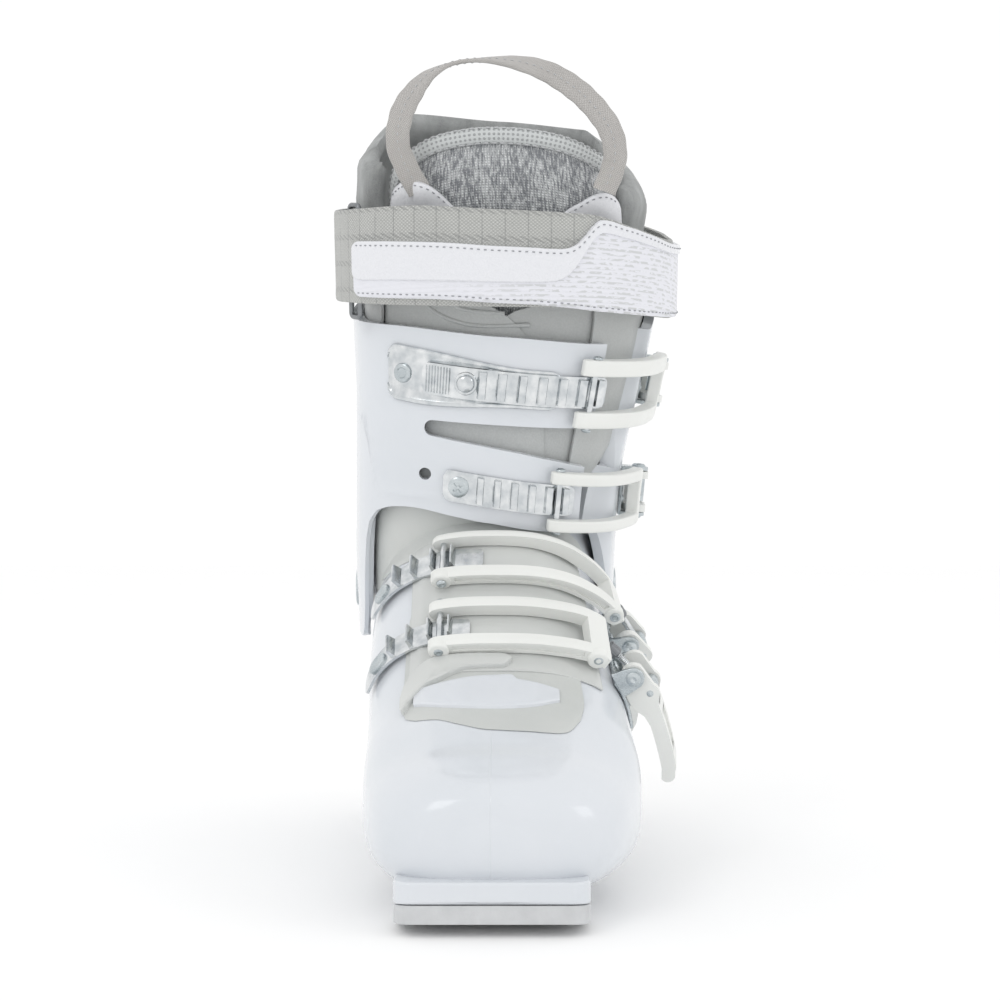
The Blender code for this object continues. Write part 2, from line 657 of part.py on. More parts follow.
def bracket(key):
    path, frame = PATHS[key], hinge_frame(key)
    lengths, widths = spread(-14.0, 5.0, 5), spread(-EAR_OUT, EAR_OUT, 4)
    grids = [[[path.place(s, w, offset) for w in widths] for s in lengths] for offset in (1.8, FIT)]
    base = thick_grid(f"bracket_{key}", *grids, "zinc")
    ear = [(-5.5, -7.4), (5.5, -7.4), *arc((0.0, 0.0), 4.4, 0.0, 180.0, 5)]
    for name, low, high in (("low", -EAR_OUT, -EAR_IN), ("high", EAR_IN, EAR_OUT)):
        boolean(base, prism(f"ear_{name}_{key}", ear, low, high, frame, CUT), "UNION")
    hole = circle((0.0, 0.0), TRUNNION_HOLE, 10)
    boolean(base, prism(f"ear_hole_{key}", hole, -20.0, 20.0, frame, CUT))
    return base


def lever(key):
    """Handle with two cheeks; its trunnions turn in the bracket's ears."""
    frame = hinge_frame(key)
    length, sag = LEVERS[key]
    def line(level, start, end, steps):
        return [(t, level - sag * t * t) for t in spread(start, end, steps)]
    outline = [*line(4.4, -length + 3.0, -15.0, 5), *arc(LINKS[key], 4.0, 140.0, 50.0, 5),
               *arc((0.0, 0.0), 5.2, 60.0, -75.0, 6),
               (-4.0, -6.2), (-11.0, -6.4), (-13.5, -5.0), (-17.5, -2.0),
               *line(0.9, -22.0, -length + 1.5, 4)]
    handle = prism(f"lever_{key}", outline, -CHEEK_OUT, CHEEK_OUT, frame, "bail_plastic")
    gap = [(-16.5, -20.0), (12.0, -20.0), (12.0, 20.0), (-16.5, 20.0)]
    boolean(handle, prism(f"cheek_gap_{key}", gap, -CHEEK_IN, CHEEK_IN, frame, CUT))
    stub = circle((0.0, 0.0), TRUNNION, 10)
    for name, low, high in (("low", -11.6, -7.0), ("high", 7.0, 11.6)):
        boolean(handle, prism(f"trunnion_{name}_{key}", stub, low, high, frame, CUT), "UNION")
    hole = circle(LINKS[key], HOLE_RADIUS, 10)
    boolean(handle, prism(f"link_hole_{key}", hole, -20.0, 20.0, frame, CUT))
    prism(f"link_pin_{key}", circle(LINKS[key], PIN_RADIUS, 10), -LINK_ACROSS, LINK_ACROSS, frame, "zinc")


def bail_offsets(key, s):
    """Inner and outer face of the bail: it starts high at the lever and comes down to the ladder."""
    down = ease(s, BAIL_START, BAIL_START + 22.0)
    return 4.2 - 1.9 * down, 10.0 - 1.6 * down


def bail(key):
    path, frame = PATHS[key], hinge_frame(key)
    hook = path.distance(HOOK_ANGLES[key])
    lengths = [BAIL_START, BAIL_START + CROSS_LENGTH]
    lengths += spread(BAIL_START + CROSS_LENGTH, hook + 4.0, 9)[1:]
    widths = [-ARM_OUT, -ARM_IN, ARM_IN, ARM_OUT]
    inner = [[path.place(s, w, bail_offsets(key, s)[0]) for w in widths] for s in lengths]
    outer = [[path.place(s, w, bail_offsets(key, s)[1]) for w in widths] for s in lengths]
    body = thick_grid(f"bail_{key}", outer, inner, "bail_plastic", present=lambda i, j: j != 1 or i == 0)
    ends = [path.place(hook, w, HOOK_OFFSETS[key]) for w in (-ARM_OUT - 0.6, ARM_OUT + 0.6)]
    direction = (ends[1] - ends[0]).normalized()
    boolean(body, rod(f"hook_hole_{key}", ends[0] - direction * 5.0, ends[1] + direction * 5.0,
                      HOOK_RADIUS + FIT, CUT, 8))
    rod(f"hook_pin_{key}", ends[0], ends[1], HOOK_RADIUS, "zinc", 8)
    adjuster(key, frame, path)


def adjuster(key, frame, path):
    """Eye on the link pin, threaded rod and barrel nut that end at the bail."""
    inside, outside = bail_offsets(key, BAIL_START)
    link = frame @ Vector((*LINKS[key], 0.0))
    end = path.place(BAIL_START, 0.0, (inside + outside) / 2.0)
    direction = (end - link).normalized()
    reach = (end - link).length
    eye = prism(f"adjuster_{key}", circle(LINKS[key], 3.0, 12), -5.5, 5.5, frame, "chrome")
    boolean(eye, rod(f"adjuster_rod_{key}", link, link + direction * (reach - NUT_GAP), 1.5, CUT, 8), "UNION")
    boolean(eye, rod(f"adjuster_nut_{key}", link + direction * (reach - 7.0),
                     link + direction * (reach - NUT_GAP), 2.6, CUT, 8), "UNION")
    boolean(eye, prism(f"adjuster_hole_{key}", circle(LINKS[key], HOLE_RADIUS, 10),
                       -20.0, 20.0, frame, CUT))


def ladder(key, name, start, end, half, teeth, foot, base, top, slot="chrome"):
    """A toothed strip along a path, from s = start to end."""
    path = PATHS[key]
    profile = [(start, base)]
    for place in teeth:
        profile += [(place - 0.9, base), (place - 0.4, top), (place + 0.4, top), (place + 0.9, base)]
    plain = profile[-1][0]
    profile += [(s, base) for s in spread(plain, end, math.ceil((end - plain) / 7.0))[1:]]
    outer = [[path.place(s, w, level) for w in (-half, 0.0, half)] for s, level in profile]
    inner = [[path.place(s, w, foot) for w in (-half, 0.0, half)] for s, level in profile]
    return thick_grid(name, outer, inner, slot)


def teeth_around(hook, pitch, before, after):
    """Tooth places with the hook pin midway between two of them."""
    return [hook + pitch * (k + 0.5) for k in range(-before, after)]


def fasten(key, name, s, holder, radius, head, profile, slot, targets):
    """A rivet or screw standing in a hole through the ladder and its wall."""
    path = PATHS[key]
    base = path.place(s, 0.0, -3.5)
    direction = (path.place(s, 0.0, 5.0) - base).normalized()
    cutter = rod(f"{name}_hole", base - direction * 4.0, base + direction * 14.0, radius + FIT, CUT, 10)
    for target in (holder, *targets):
        boolean(target, cutter)
    seat = 3.5 + head
    rows = [(0.0, radius), (seat, radius), *[(seat + up, wide) for up, wide in profile]]
    return turned(name, rows, frame_along(base, direction), slot, 12)


def ladders(shell, upper):
    flat_head = [(0.0, 4.2), (1.0, 4.2), (1.6, 3.2)]
    for key, near, far in (("toe", 95.0, 160.0), ("instep", 92.0, 155.0)):
        path = PATHS[key]
        hook, start, end = (path.distance(a) for a in (HOOK_ANGLES[key], near, far))
        strip = ladder(key, f"ladder_{key}", start, end, 5.6, teeth_around(hook, 7.8, 1, 3),
                       2.0, 3.2, 7.0)
        fasten(key, f"ladder_rivet_{key}", end - 11.0, strip, 2.2, 3.6, flat_head, "zinc", [shell])

    path = PATHS["mid"]
    hook = path.distance(HOOK_ANGLES["mid"])
    strip = ladder("mid", "ladder_mid", hook - 9.0, hook + 57.0, 5.8, teeth_around(hook, 7.4, 1, 5),
                   FIT + 0.1, 1.8, 4.4)
    fasten("mid", "ladder_screw_mid", hook + 51.0, strip, 2.2, 2.1, [(0.0, 4.4), (1.4, 3.8)], "zinc",
           [upper])

    path = PATHS["upper"]
    hook = path.distance(HOOK_ANGLES["upper"])
    lengths = spread(hook + 12.0, hook + 95.0, 12)
    halves = [6.6 + 3.2 * ease(s, hook + 30.0, hook + 75.0) for s in lengths]
    grids = [[[path.place(s, w * half, offset) for w in (-1.0, 0.0, 1.0)]
              for s, half in zip(lengths, halves)] for offset in (1.2, FIT + 0.1)]
    tray = thick_grid("ladder_tray_upper", *grids, "chrome")
    strip = ladder("upper", "ladder_upper", hook - 8.0, hook + 76.0, 5.6,
                   teeth_around(hook, 8.0, 1, 5), 1.7, 2.9, 4.9)
    fasten("upper", "ladder_rivet_upper", hook + 88.0, tray, 2.4, 1.6, flat_head, "zinc", [upper])
    fasten("upper", "ladder_button_upper", hook + 56.0, strip, 2.2, 3.2, [(0.0, 4.8), (1.6, 4.2), (2.6, 2.4)],
           "chrome", [tray, upper])


def lean_screw(upper):
    """Forward lean screw low on the back of the cuff."""
    base = cuff_at(40.0, 90.0, -CUFF_WALL + 0.5)
    direction = (cuff_at(40.0, 90.0, 5.0) - base).normalized()
    boolean(upper, rod("lean_screw_hole", base - direction * 6.0, base + direction * 8.0, 3.3, CUT, 10))
    turned("lean_screw", [(0.0, 3.0), (4.4, 3.0), (4.4, 5.5), (6.0, 4.9)],
           frame_along(base, direction), "zinc", 12)


clear_scene()
MATERIALS = make_materials()
LOWER = lower_shell()
UPPER = cuff()
sole_pads()
inner_boards()
liner_foot()
throat_parts()
liner_upper()
loop_tabs()
pull_loop()
power_strap()
cuff_pivots(LOWER, UPPER)
for buckle in PATHS:
    bracket(buckle)
    lever(buckle)
    bail(buckle)
ladders(LOWER, UPPER)
lean_screw(UPPER)
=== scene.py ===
"""Looks of the alpine ski boot: fine shells, soft goods, buckles and materials.

Lengths in the tables are millimetres and angles are degrees; meshes are made in
metres.  The surface formulas are those of the part's design, at a finer step.
"""
import math
import random

import bmesh
import bpy
from mathutils import Matrix, Vector, noise


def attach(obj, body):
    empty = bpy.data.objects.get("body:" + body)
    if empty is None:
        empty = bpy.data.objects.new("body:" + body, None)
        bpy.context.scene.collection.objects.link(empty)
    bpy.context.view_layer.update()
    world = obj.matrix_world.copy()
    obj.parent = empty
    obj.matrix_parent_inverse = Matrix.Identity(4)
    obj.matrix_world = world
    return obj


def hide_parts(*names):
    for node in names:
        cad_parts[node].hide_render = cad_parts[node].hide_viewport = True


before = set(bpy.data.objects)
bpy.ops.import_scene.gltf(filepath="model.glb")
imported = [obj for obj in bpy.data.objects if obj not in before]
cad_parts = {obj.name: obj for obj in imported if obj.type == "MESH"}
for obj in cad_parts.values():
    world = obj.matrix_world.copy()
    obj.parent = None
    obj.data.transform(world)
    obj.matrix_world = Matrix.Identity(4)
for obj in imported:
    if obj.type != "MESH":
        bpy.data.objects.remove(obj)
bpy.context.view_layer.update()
MM = 0.001
random.seed(7)

# ---------------------------------------------------------------- the boot's surfaces

SHELL_WALL, CUFF_WALL = 4.5, 4.5
# sole or heel point (y, z), toe or instep point (y, z), medial and lateral half width, widest, squareness
SHELL_ROWS = [
    (-254.0, 20.0, -254.0, 38.0, 14.0, 15.0, 0.50, 2.2),
    (-251.5, 12.5, -251.5, 47.0, 27.0, 29.0, 0.46, 2.4),
    (-244.0, 9.5, -244.0, 53.0, 37.0, 41.0, 0.46, 2.45),
    (-230.0, 8.0, -230.0, 58.5, 44.0, 49.0, 0.47, 2.6),
    (-210.0, 6.0, -210.0, 65.0, 48.0, 54.5, 0.47, 2.75),
    (-190.0, 4.5, -190.0, 73.5, 50.0, 57.5, 0.47, 3.0),
    (-170.0, 4.5, -172.0, 82.0, 50.5, 57.0, 0.48, 3.0),
    (-145.0, 6.0, -159.0, 93.0, 51.0, 55.5, 0.50, 2.9),
    (-115.0, 10.0, -146.0, 107.0, 52.0, 53.5, 0.52, 2.8),
    (-80.0, 14.0, -135.0, 120.0, 53.0, 51.0, 0.55, 2.7),
    (-42.0, 13.0, -126.0, 131.0, 53.5, 49.0, 0.58, 2.6),
    (-5.0, 10.5, -119.0, 139.0, 53.5, 48.0, 0.60, 2.5),
    (26.0, 14.0, -115.0, 144.0, 53.5, 47.5, 0.60, 2.5),
    (35.0, 38.0, -113.0, 148.0, 53.5, 47.5, 0.60, 2.4),
    (32.0, 68.0, -111.5, 151.0, 53.5, 47.5, 0.55, 2.3),
    (23.0, 98.0, -110.5, 153.5, 53.5, 47.5, 0.50, 2.3),
    (10.0, 125.0, -110.0, 155.5, 53.5, 47.5, 0.50, 2.3),
    (-8.0, 150.0, -109.5, 157.0, 53.0, 47.5, 0.50, 2.3),
]
SHELL_RIM = len(SHELL_ROWS) - 1.0
PIVOT = Vector((0.0, -52.0, 115.0))
LEAN = math.radians(12.0)
UP = Vector((0.0, -math.sin(LEAN), math.cos(LEAN)))
BACK = Vector((0.0, math.cos(LEAN), math.sin(LEAN)))
# height along the lean, then the wall in front, behind, medial and lateral
CUFF_ROWS = [
    (-20.0, 62.0, 73.0, 62.0, 55.0),
    (20.0, 62.0, 70.0, 63.0, 55.5),
    (60.0, 62.5, 66.0, 62.5, 58.5),
    (100.0, 61.5, 61.0, 62.0, 66.5),
    (130.0, 61.0, 57.0, 62.5, 72.0),
    (165.0, 60.0, 52.0, 60.0, 71.0),
    (210.0, 58.0, 48.0, 57.0, 64.0),
]
CUFF_POWER = 2.5
FLAP_END, LATERAL_EDGE = 307.0, -48.0
# the strap in front, behind, medial and lateral; it is a little squarer than the cuff
STRAP_ROWS = (70.0, 60.0, 70.0, 79.0)
STRAP_POWER = 2.6
STRAP_SEAM = 190.0
# angle round the strap, then the heights of its lower and upper edges
STRAP_EDGES = [(190, 133.5, 172.0), (215, 134.5, 173.5), (250, 135.0, 175.5), (281, 134.5, 173.0),
               (294, 133.0, 171.5), (310, 131.0, 166.5), (330, 128.0, 161.5), (350, 126.0, 159.5),
               (372, 127.0, 161.0), (420, 131.0, 168.0), (480, 134.0, 171.5), (550, 133.5, 172.0)]
# the stiff pad on it: angle, its lower edge, its upper edge and the step between weave and gloss
PAD_EDGES = [(219, 137.5, 160.5, 144.5), (240, 137.8, 161.0, 145.2), (258, 137.7, 160.7, 145.3),
             (276, 135.7, 158.8, 144.7), (281, 135.0, 158.3, 145.2), (284, 134.5, 158.4, 147.0),
             (287, 134.0, 159.8, 151.0), (290, 133.4, 163.4, 157.0), (293, 132.8, 167.6, 162.3),
             (296, 132.4, 169.6, 164.3), (304, 131.3, 167.3, 162.4), (316, 129.8, 163.6, 159.0),
             (332, 128.0, 159.2, 155.0), (352, 126.3, 157.4, 153.4), (372, 126.3, 157.4, 153.4)]
# the tongue's upper edge: angle, height
TONGUE_EDGE = [(208, 172.0), (210, 182.0), (213, 187.0), (219, 191.5), (231, 197.0), (242, 201.5),
               (255, 204.6), (270, 206.0), (290, 203.0), (307, 198.0), (318, 194.0), (326, 188.5),
               (330, 182.0), (332, 172.0)]
LOOP_AXIS_Y, LOOP_AXIS_Z = -148.0, 288.0


def blend_rows(rows, position):
    """Catmull-Rom interpolation between the rows of a table."""
    position = max(0.0, min(len(rows) - 1.0, position))
    first = min(int(position), len(rows) - 2)
    f = position - first
    before, a, b, after = (rows[max(0, min(len(rows) - 1, first + k))] for k in (-1, 0, 1, 2))
    return [0.5 * (2 * q + (r - p) * f + (2 * p - 5 * q + 4 * r - s) * f * f
                   + (3 * q - p - 3 * r + s) * f ** 3)
            for p, q, r, s in zip(before, a, b, after)]


def table_at(rows, value):
    """The rest of a table's row where its first column has this value."""
    keys = [row[0] for row in rows]
    value = max(keys[0], min(keys[-1], value))
    k = max(i for i in range(len(keys) - 1) if keys[i] <= value)
    return blend_rows([row[1:] for row in rows], k + (value - keys[k]) / (keys[k + 1] - keys[k]))


def ease(value, start, end):
    f = max(0.0, min(1.0, (value - start) / (end - start)))
    return f * f * (3.0 - 2.0 * f)


def bump(value, centre, width):
    """A smooth hill of height 1."""
    return math.exp(-((value - centre) / width) ** 2)


def spread(start, end, steps):
    return [start + (end - start) * k / steps for k in range(steps + 1)]


def rounded(value, power):
    return math.copysign(abs(value) ** (2.0 / power), value)


def arc(centre, radius, start, end, steps):
    return [(centre[0] + radius * math.cos(math.radians(a)),
             centre[1] + radius * math.sin(math.radians(a))) for a in spread(start, end, steps)]


def circle(centre, radius, sides):
    return arc(centre, radius, 0.0, 360.0 - 360.0 / sides, sides - 1)


def shell_point(position, angle):
    """Lower shell outside: angle -90 is the sole, 0 lateral, 90 the instep, 180 medial."""
    row = blend_rows(SHELL_ROWS, position)
    sole, top = Vector((0.0, row[0], row[1])), Vector((0.0, row[2], row[3]))
    medial, lateral, widest, power = row[4:]
    half = lateral if math.cos(math.radians(angle)) > 0 else medial
    across = rounded(math.cos(math.radians(angle)), power) * half
    up = rounded(math.sin(math.radians(angle)), power)
    share = widest + (1.0 - widest) * up if up > 0 else widest + widest * up
    return sole.lerp(top, share) + Vector((across, 0.0, 0.0))


def leaning_ring(walls, power, height, angle):
    """A ring square to the lean: angle 0 is lateral, 90 the back, 180 medial, 270 the front."""
    front, back, medial, lateral = walls
    middle, half = (lateral - medial) / 2.0, (lateral + medial) / 2.0
    across = middle + half * rounded(math.cos(math.radians(angle)), power)
    depth = rounded(math.sin(math.radians(angle)), power)
    depth *= back if depth > 0 else front
    return PIVOT + UP * height + BACK * depth + Vector((across, 0.0, 0.0))


def cuff_point(height, angle):
    """Cuff outside."""
    return leaning_ring(table_at(CUFF_ROWS, height), CUFF_POWER, height, angle)


def strap_point(height, angle):
    """Strap middle."""
    return leaning_ring(STRAP_ROWS, STRAP_POWER, height, angle)


def offset_point(surface, u, v, du, dv, offset):
    along_u = surface(u + du, v) - surface(u - du, v)
    along_v = surface(u, v + dv) - surface(u, v - dv)
    normal = along_v.cross(along_u).normalized()
    if surface is shell_point:
        normal.negate()
    return surface(u, v) + normal * offset


def shell_at(position, angle, offset):
    return offset_point(shell_point, position, angle, 0.05, 2.0, offset)


def cuff_at(height, angle, offset):
    return offset_point(cuff_point, height, angle, 3.0, 2.0, offset)


def behind_cuff(gap):
    """A surface inside the cuff, this far behind its wall."""
    return lambda height, angle, offset: cuff_at(height, angle, offset - CUFF_WALL - gap)


def strap_at(height, angle, offset):
    return offset_point(strap_point, height, angle, 3.0, 2.0, offset)


class SurfacePath:
    """A strip's middle line on a surface: s from the buckle's hinge to the ladder, w across."""

    def __init__(self, at, surface, first_u, slope, start, end, width_is_u, bow=0.0, bow_length=1.0):
        self.at, self.surface, self.width_is_u = at, surface, width_is_u
        self.first_u, self.slope, self.bow, self.bow_length = first_u, slope, bow, bow_length
        self.angles = spread(start, end, 200)
        self.lengths = [0.0]
        for a, b in zip(self.angles, self.angles[1:]):
            self.lengths.append(self.lengths[-1] + (surface(first_u, b) - surface(first_u, a)).length)

    def angle(self, s):
        if s <= 0.0:
            return self.angles[0] + s * (self.angles[1] - self.angles[0]) / self.lengths[1]
        k = max(i for i, length in enumerate(self.lengths[:-1]) if length <= s)
        share = (s - self.lengths[k]) / (self.lengths[k + 1] - self.lengths[k])
        return self.angles[k] + share * (self.angles[k + 1] - self.angles[k])

    def distance(self, angle):
        step = self.angles[1] - self.angles[0]
        k = min(max(int((angle - self.angles[0]) / step), 0), len(self.angles) - 2)
        return self.lengths[k] + (angle - self.angles[k]) / step * (self.lengths[k + 1] - self.lengths[k])

    def place(self, s, w, offset):
        angle = self.angle(s)
        bowed = math.sin(math.pi * max(0.0, min(1.0, s / self.bow_length)))
        u = self.first_u + self.slope * s - self.bow * bowed
        if self.width_is_u:
            return self.at(u + w, angle, offset)
        scale = (self.surface(u + 0.1, angle) - self.surface(u - 0.1, angle)).length / 0.2
        return self.at(u + w / scale, angle, offset)


PATHS = {
    "toe": SurfacePath(shell_at, shell_point, 7.45, 0.0, 28.0, 168.0, False),
    "instep": SurfacePath(shell_at, shell_point, 9.66, 0.0, 14.0, 164.0, False),
    "mid": SurfacePath(cuff_at, cuff_point, 45.8, 0.12, 0.0, -140.0, True, 2.2, 125.0),
    "upper": SurfacePath(cuff_at, cuff_point, 96.0, 0.066, 6.0, -145.0, True, 3.2, 160.0),
}
HOOK_ANGLES = {"toe": 106.0, "instep": 106.0, "mid": -67.0, "upper": -59.5}
HINGE_HEIGHT = 8.5


def frame_from(origin, first, second, third):
    matrix = Matrix((first, second, third)).transposed().to_4x4()
    matrix.translation = Vector(origin)
    return matrix


def frame_along(origin, direction):
    third = Vector(direction).normalized()
    side = Vector((0.0, 0.0, 1.0)) if abs(third.z) < 0.9 else Vector((1.0, 0.0, 0.0))
    first = side.cross(third).normalized()
    return frame_from(origin, first, third.cross(first), third)


def hinge_frame(key):
    """Origin on the lever's hinge; axes: towards the ladder, out of the boot, across."""
    path = PATHS[key]
    foot = path.place(0.0, 0.0, 0.0)
    out = (path.place(0.0, 0.0, 10.0) - foot).normalized()
    towards = path.place(2.0, 0.0, 0.0) - path.place(-2.0, 0.0, 0.0)
    towards = (towards - out * towards.dot(out)).normalized()
    return frame_from(foot + out * HINGE_HEIGHT, towards, out, towards.cross(out))


# ---------------------------------------------------------------- mesh tools

def add_piece(name, points, faces, material, body, uvs=None, bevel=0.0, segments=2, subdivide=0,
              replaces=(), slot=None, sharp=40.0):
    """A piece from points in millimetres that rides on a body.  uvs gives millimetres per point."""
    mesh = bpy.data.meshes.new(name)
    mesh.from_pydata([tuple(c * MM for c in p) for p in points], [], faces)
    if uvs is not None:
        layer = mesh.uv_layers.new(name="mm")
        for loop in mesh.loops:
            layer.data[loop.index].uv = uvs[loop.vertex_index]
    tidy_mesh(mesh)
    mesh.shade_smooth()
    mesh.set_sharp_from_angle(angle=math.radians(sharp))
    mesh.materials.append(MATERIALS[material])
    thing = bpy.data.objects.new(name, mesh)
    bpy.context.collection.objects.link(thing)
    if bevel:
        add_bevel(thing, bevel, segments)
    if subdivide:
        modifier = thing.modifiers.new("subdivide", "SUBSURF")
        modifier.levels = modifier.render_levels = subdivide
    if body is not None:
        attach(thing, body)
        slot or SLOTS[material]
    for node in replaces:
        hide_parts(node)
    return thing


def tidy_mesh(mesh):
    """Merge points that coincide, drop edges without faces and turn faces outwards."""
    shape = bmesh.new()
    shape.from_mesh(mesh)
    bmesh.ops.remove_doubles(shape, verts=shape.verts, dist=1e-6)
    bmesh.ops.delete(shape, geom=[edge for edge in shape.edges if not edge.link_faces], context="EDGES")
    bmesh.ops.recalc_face_normals(shape, faces=shape.faces)
    shape.to_mesh(mesh)
    shape.free()


def add_bevel(thing, width, segments=2, angle=35.0):
    modifier = thing.modifiers.new("bevel", "BEVEL")
    modifier.width = width * MM
    modifier.segments = segments
    modifier.limit_method = "ANGLE"
    modifier.angle_limit = math.radians(angle)
    modifier.harden_normals = True


def cut(thing, cutter, operation="DIFFERENCE"):
    """Apply a Boolean now and remove the cutter."""
    modifier = thing.modifiers.new("cut", "BOOLEAN")
    modifier.operation = operation
    modifier.object = cutter
    modifier.solver = "EXACT"
    apply_modifiers(thing)
    bpy.data.objects.remove(cutter, do_unlink=True)


def apply_modifiers(thing):
    graph = bpy.context.evaluated_depsgraph_get()
    graph.update()
    mesh = bpy.data.meshes.new_from_object(thing.evaluated_get(graph))
    thing.modifiers.clear()
    thing.data = mesh


def grid_faces(rows, columns, wrap, present):
    """Faces of a two-skin sheet, its open cells and its side walls."""
    shift = rows * columns
    cell_columns = columns if wrap else columns - 1

    def corner(i, j):
        return i * columns + j % columns

    def here(i, j):
        j = j % columns if wrap else j
        inside = 0 <= i < rows - 1 and 0 <= j < cell_columns
        return inside and (present is None or present(i, j))

    faces = []
    for i in range(rows - 1):
        for j in range(cell_columns):
            if not here(i, j):
                continue
            a, b, c, d = corner(i, j), corner(i, j + 1), corner(i + 1, j + 1), corner(i + 1, j)
            faces += [(a, b, c, d), (d + shift, c + shift, b + shift, a + shift)]
            for neighbour, p, q in (((i - 1, j), a, b), ((i, j + 1), b, c),
                                    ((i + 1, j), c, d), ((i, j - 1), d, a)):
                if not here(*neighbour):
                    faces.append((q, p, p + shift, q + shift))
    return faces


def sheet_piece(name, place, us, vs, outside, inside, material, body, present=None, wrap=False, **more):
    """A sheet on a surface.  place(u, v, offset) gives points; its uvs are lengths along it."""
    outer = [[place(u, v, outside(u, v)) for v in vs] for u in us]
    inner = [[place(u, v, inside(u, v)) for v in vs] for u in us]
    rows, columns = len(us), len(vs)
    middle = outer[rows // 2]
    along = [0.0]
    for a, b in zip(middle, middle[1:]):
        along.append(along[-1] + (b - a).length)
    column = columns // 2
    across = [0.0]
    for i in range(rows - 1):
        across.append(across[-1] + (outer[i + 1][column] - outer[i][column]).length)
    uvs = [(along[j], across[i]) for i in range(rows) for j in range(columns)] * 2
    faces = grid_faces(rows, columns, wrap, present)
    used = sorted({v for face in faces for v in face})
    renumber = {old: new for new, old in enumerate(used)}
    points = [p for row in outer for p in row] + [p for row in inner for p in row]
    return add_piece(name, [points[v] for v in used], [tuple(renumber[v] for v in f) for f in faces],
                     material, body, uvs=[uvs[v] for v in used], **more)


def fixed(value):
    return lambda *place: value


def crowned(low, high, edge):
    """An outside level that rounds over within this share of a sheet's two long edges."""
    return lambda share, angle: low + (high - low) * math.sqrt(ease(min(share, 1.0 - share), 0.0, edge))


def banded_piece(name, at, rows, low, high, material, body, steps=(18, 120), **more):
    """A panel on a surface between two edges given as rows of angle, lower and upper edge."""
    def place(share, angle, offset):
        first, last = table_at(rows, angle)
        return at(first + (last - first) * share, angle, offset)

    shares = [0.0, 0.03, *spread(0.08, 0.92, steps[0]), 0.97, 1.0]
    return sheet_piece(name, place, shares, spread(rows[0][0], rows[-1][0], steps[1]),
                       crowned(low, high, 0.05),
                       fixed(low - 0.3), material, body, **more)


def loft_piece(name, sections, material, body, closed=False, **more):
    """A closed solid through sections of equal length; closed joins the last to the first."""
    count = len(sections[0])
    total = len(sections)
    faces = []
    for i in range(total if closed else total - 1):
        n = (i + 1) % total
        for j in range(count):
            k = (j + 1) % count
            faces.append((i * count + j, i * count + k, n * count + k, n * count + j))
    if not closed:
        faces.append(tuple(reversed(range(count))))
        faces.append(tuple((total - 1) * count + j for j in range(count)))
    around, along = [0.0], [0.0]
    for j in range(count - 1):
        around.append(around[-1] + (sections[0][j + 1] - sections[0][j]).length)
    for i in range(total - 1):
        along.append(along[-1] + (sections[i + 1][0] - sections[i][0]).length)
    uvs = [(along[i], around[j]) for i in range(total) for j in range(count)]
    return add_piece(name, [p for s in sections for p in s], faces, material, body, uvs=uvs, **more)


def prism_piece(name, outline, low, high, matrix, material, body, **more):
    sections = [[matrix @ Vector((a, b, w)) for a, b in outline] for w in (low, high)]
    return loft_piece(name, sections, material, body, **more)


def rod_piece(name, start, end, radius, material, body, sides=24, **more):
    start, end = Vector(start), Vector(end)
    return prism_piece(name, circle((0.0, 0.0), radius, sides), 0.0, (end - start).length,
                       frame_along(start, end - start), material, body, **more)


def turned_piece(name, profile, matrix, material, body, sides=32, **more):
    """Profile rows are (height, radius) along the matrix's third axis."""
    sections = [[matrix @ Vector((a, b, height)) for a, b in circle((0.0, 0.0), radius, sides)]
                for height, radius in profile]
    return loft_piece(name, sections, material, body, **more)


def tube_sections(route, radius, sides=12, closed=False):
    """Round sections along a list of points."""
    count = len(route)
    sections = []
    side = None
    for k, here in enumerate(route):
        ahead = route[(k + 1) % count] if closed else route[min(k + 1, count - 1)]
        behind = route[(k - 1) % count] if closed else route[max(k - 1, 0)]
        along = (ahead - behind).normalized()
        if side is None:
            side = along.orthogonal().normalized()
        side = (side - along * side.dot(along)).normalized()
        other = along.cross(side)
        sections.append([here + side * a + other * b for a, b in circle((0.0, 0.0), radius, sides)])
    return sections


def smooth_route(points, steps):
    rows = [tuple(p) for p in points]
    return [Vector(blend_rows(rows, (len(rows) - 1) * k / steps)) for k in range(steps + 1)]


def stitches(name, route, normals, material, body, length=2.3, gap=1.1, radius=0.34):
    """Short thread stitches laid along a route of points, lifted by its normals."""
    lengths = [0.0]
    for a, b in zip(route, route[1:]):
        lengths.append(lengths[-1] + (b - a).length)

    def at(s):
        k = max(i for i, value in enumerate(lengths[:-1]) if value <= s)
        share = (s - lengths[k]) / max(lengths[k + 1] - lengths[k], 1e-6)
        return route[k].lerp(route[k + 1], share), normals[k]

    points, faces = [], []
    count = int(lengths[-1] // (length + gap))
    for number in range(count):
        start = number * (length + gap)
        rings = []
        for share, size, lift in ((0.0, 0.3, -0.25), (0.18, 0.85, 0.05), (0.5, 1.0, 0.2),
                                  (0.82, 0.85, 0.05), (1.0, 0.3, -0.25)):
            centre, normal = at(min(start + share * length, lengths[-1] - 1e-4))
            ahead, _ = at(min(start + share * length + 0.2, lengths[-1] - 1e-4))
            behind, _ = at(max(start + share * length - 0.2, 0.0))
            along = (ahead - behind).normalized()
            across = along.cross(normal).normalized()
            rings.append([centre + normal * lift + (across * a + normal * b) * radius * size
                          for a, b in circle((0.0, 0.0), 1.0, 6)])
        base = len(points)
        points += [p for ring in rings for p in ring]
        for i in range(len(rings) - 1):
            for j in range(6):
                k = (j + 1) % 6
                faces.append((base + i * 6 + j, base + i * 6 + k, base + i * 6 + 6 + k, base + i * 6 + 6 + j))
        faces.append(tuple(base + j for j in reversed(range(6))))
        faces.append(tuple(base + 24 + j for j in range(6)))
    return add_piece(name, points, faces, material, body, sharp=80.0)


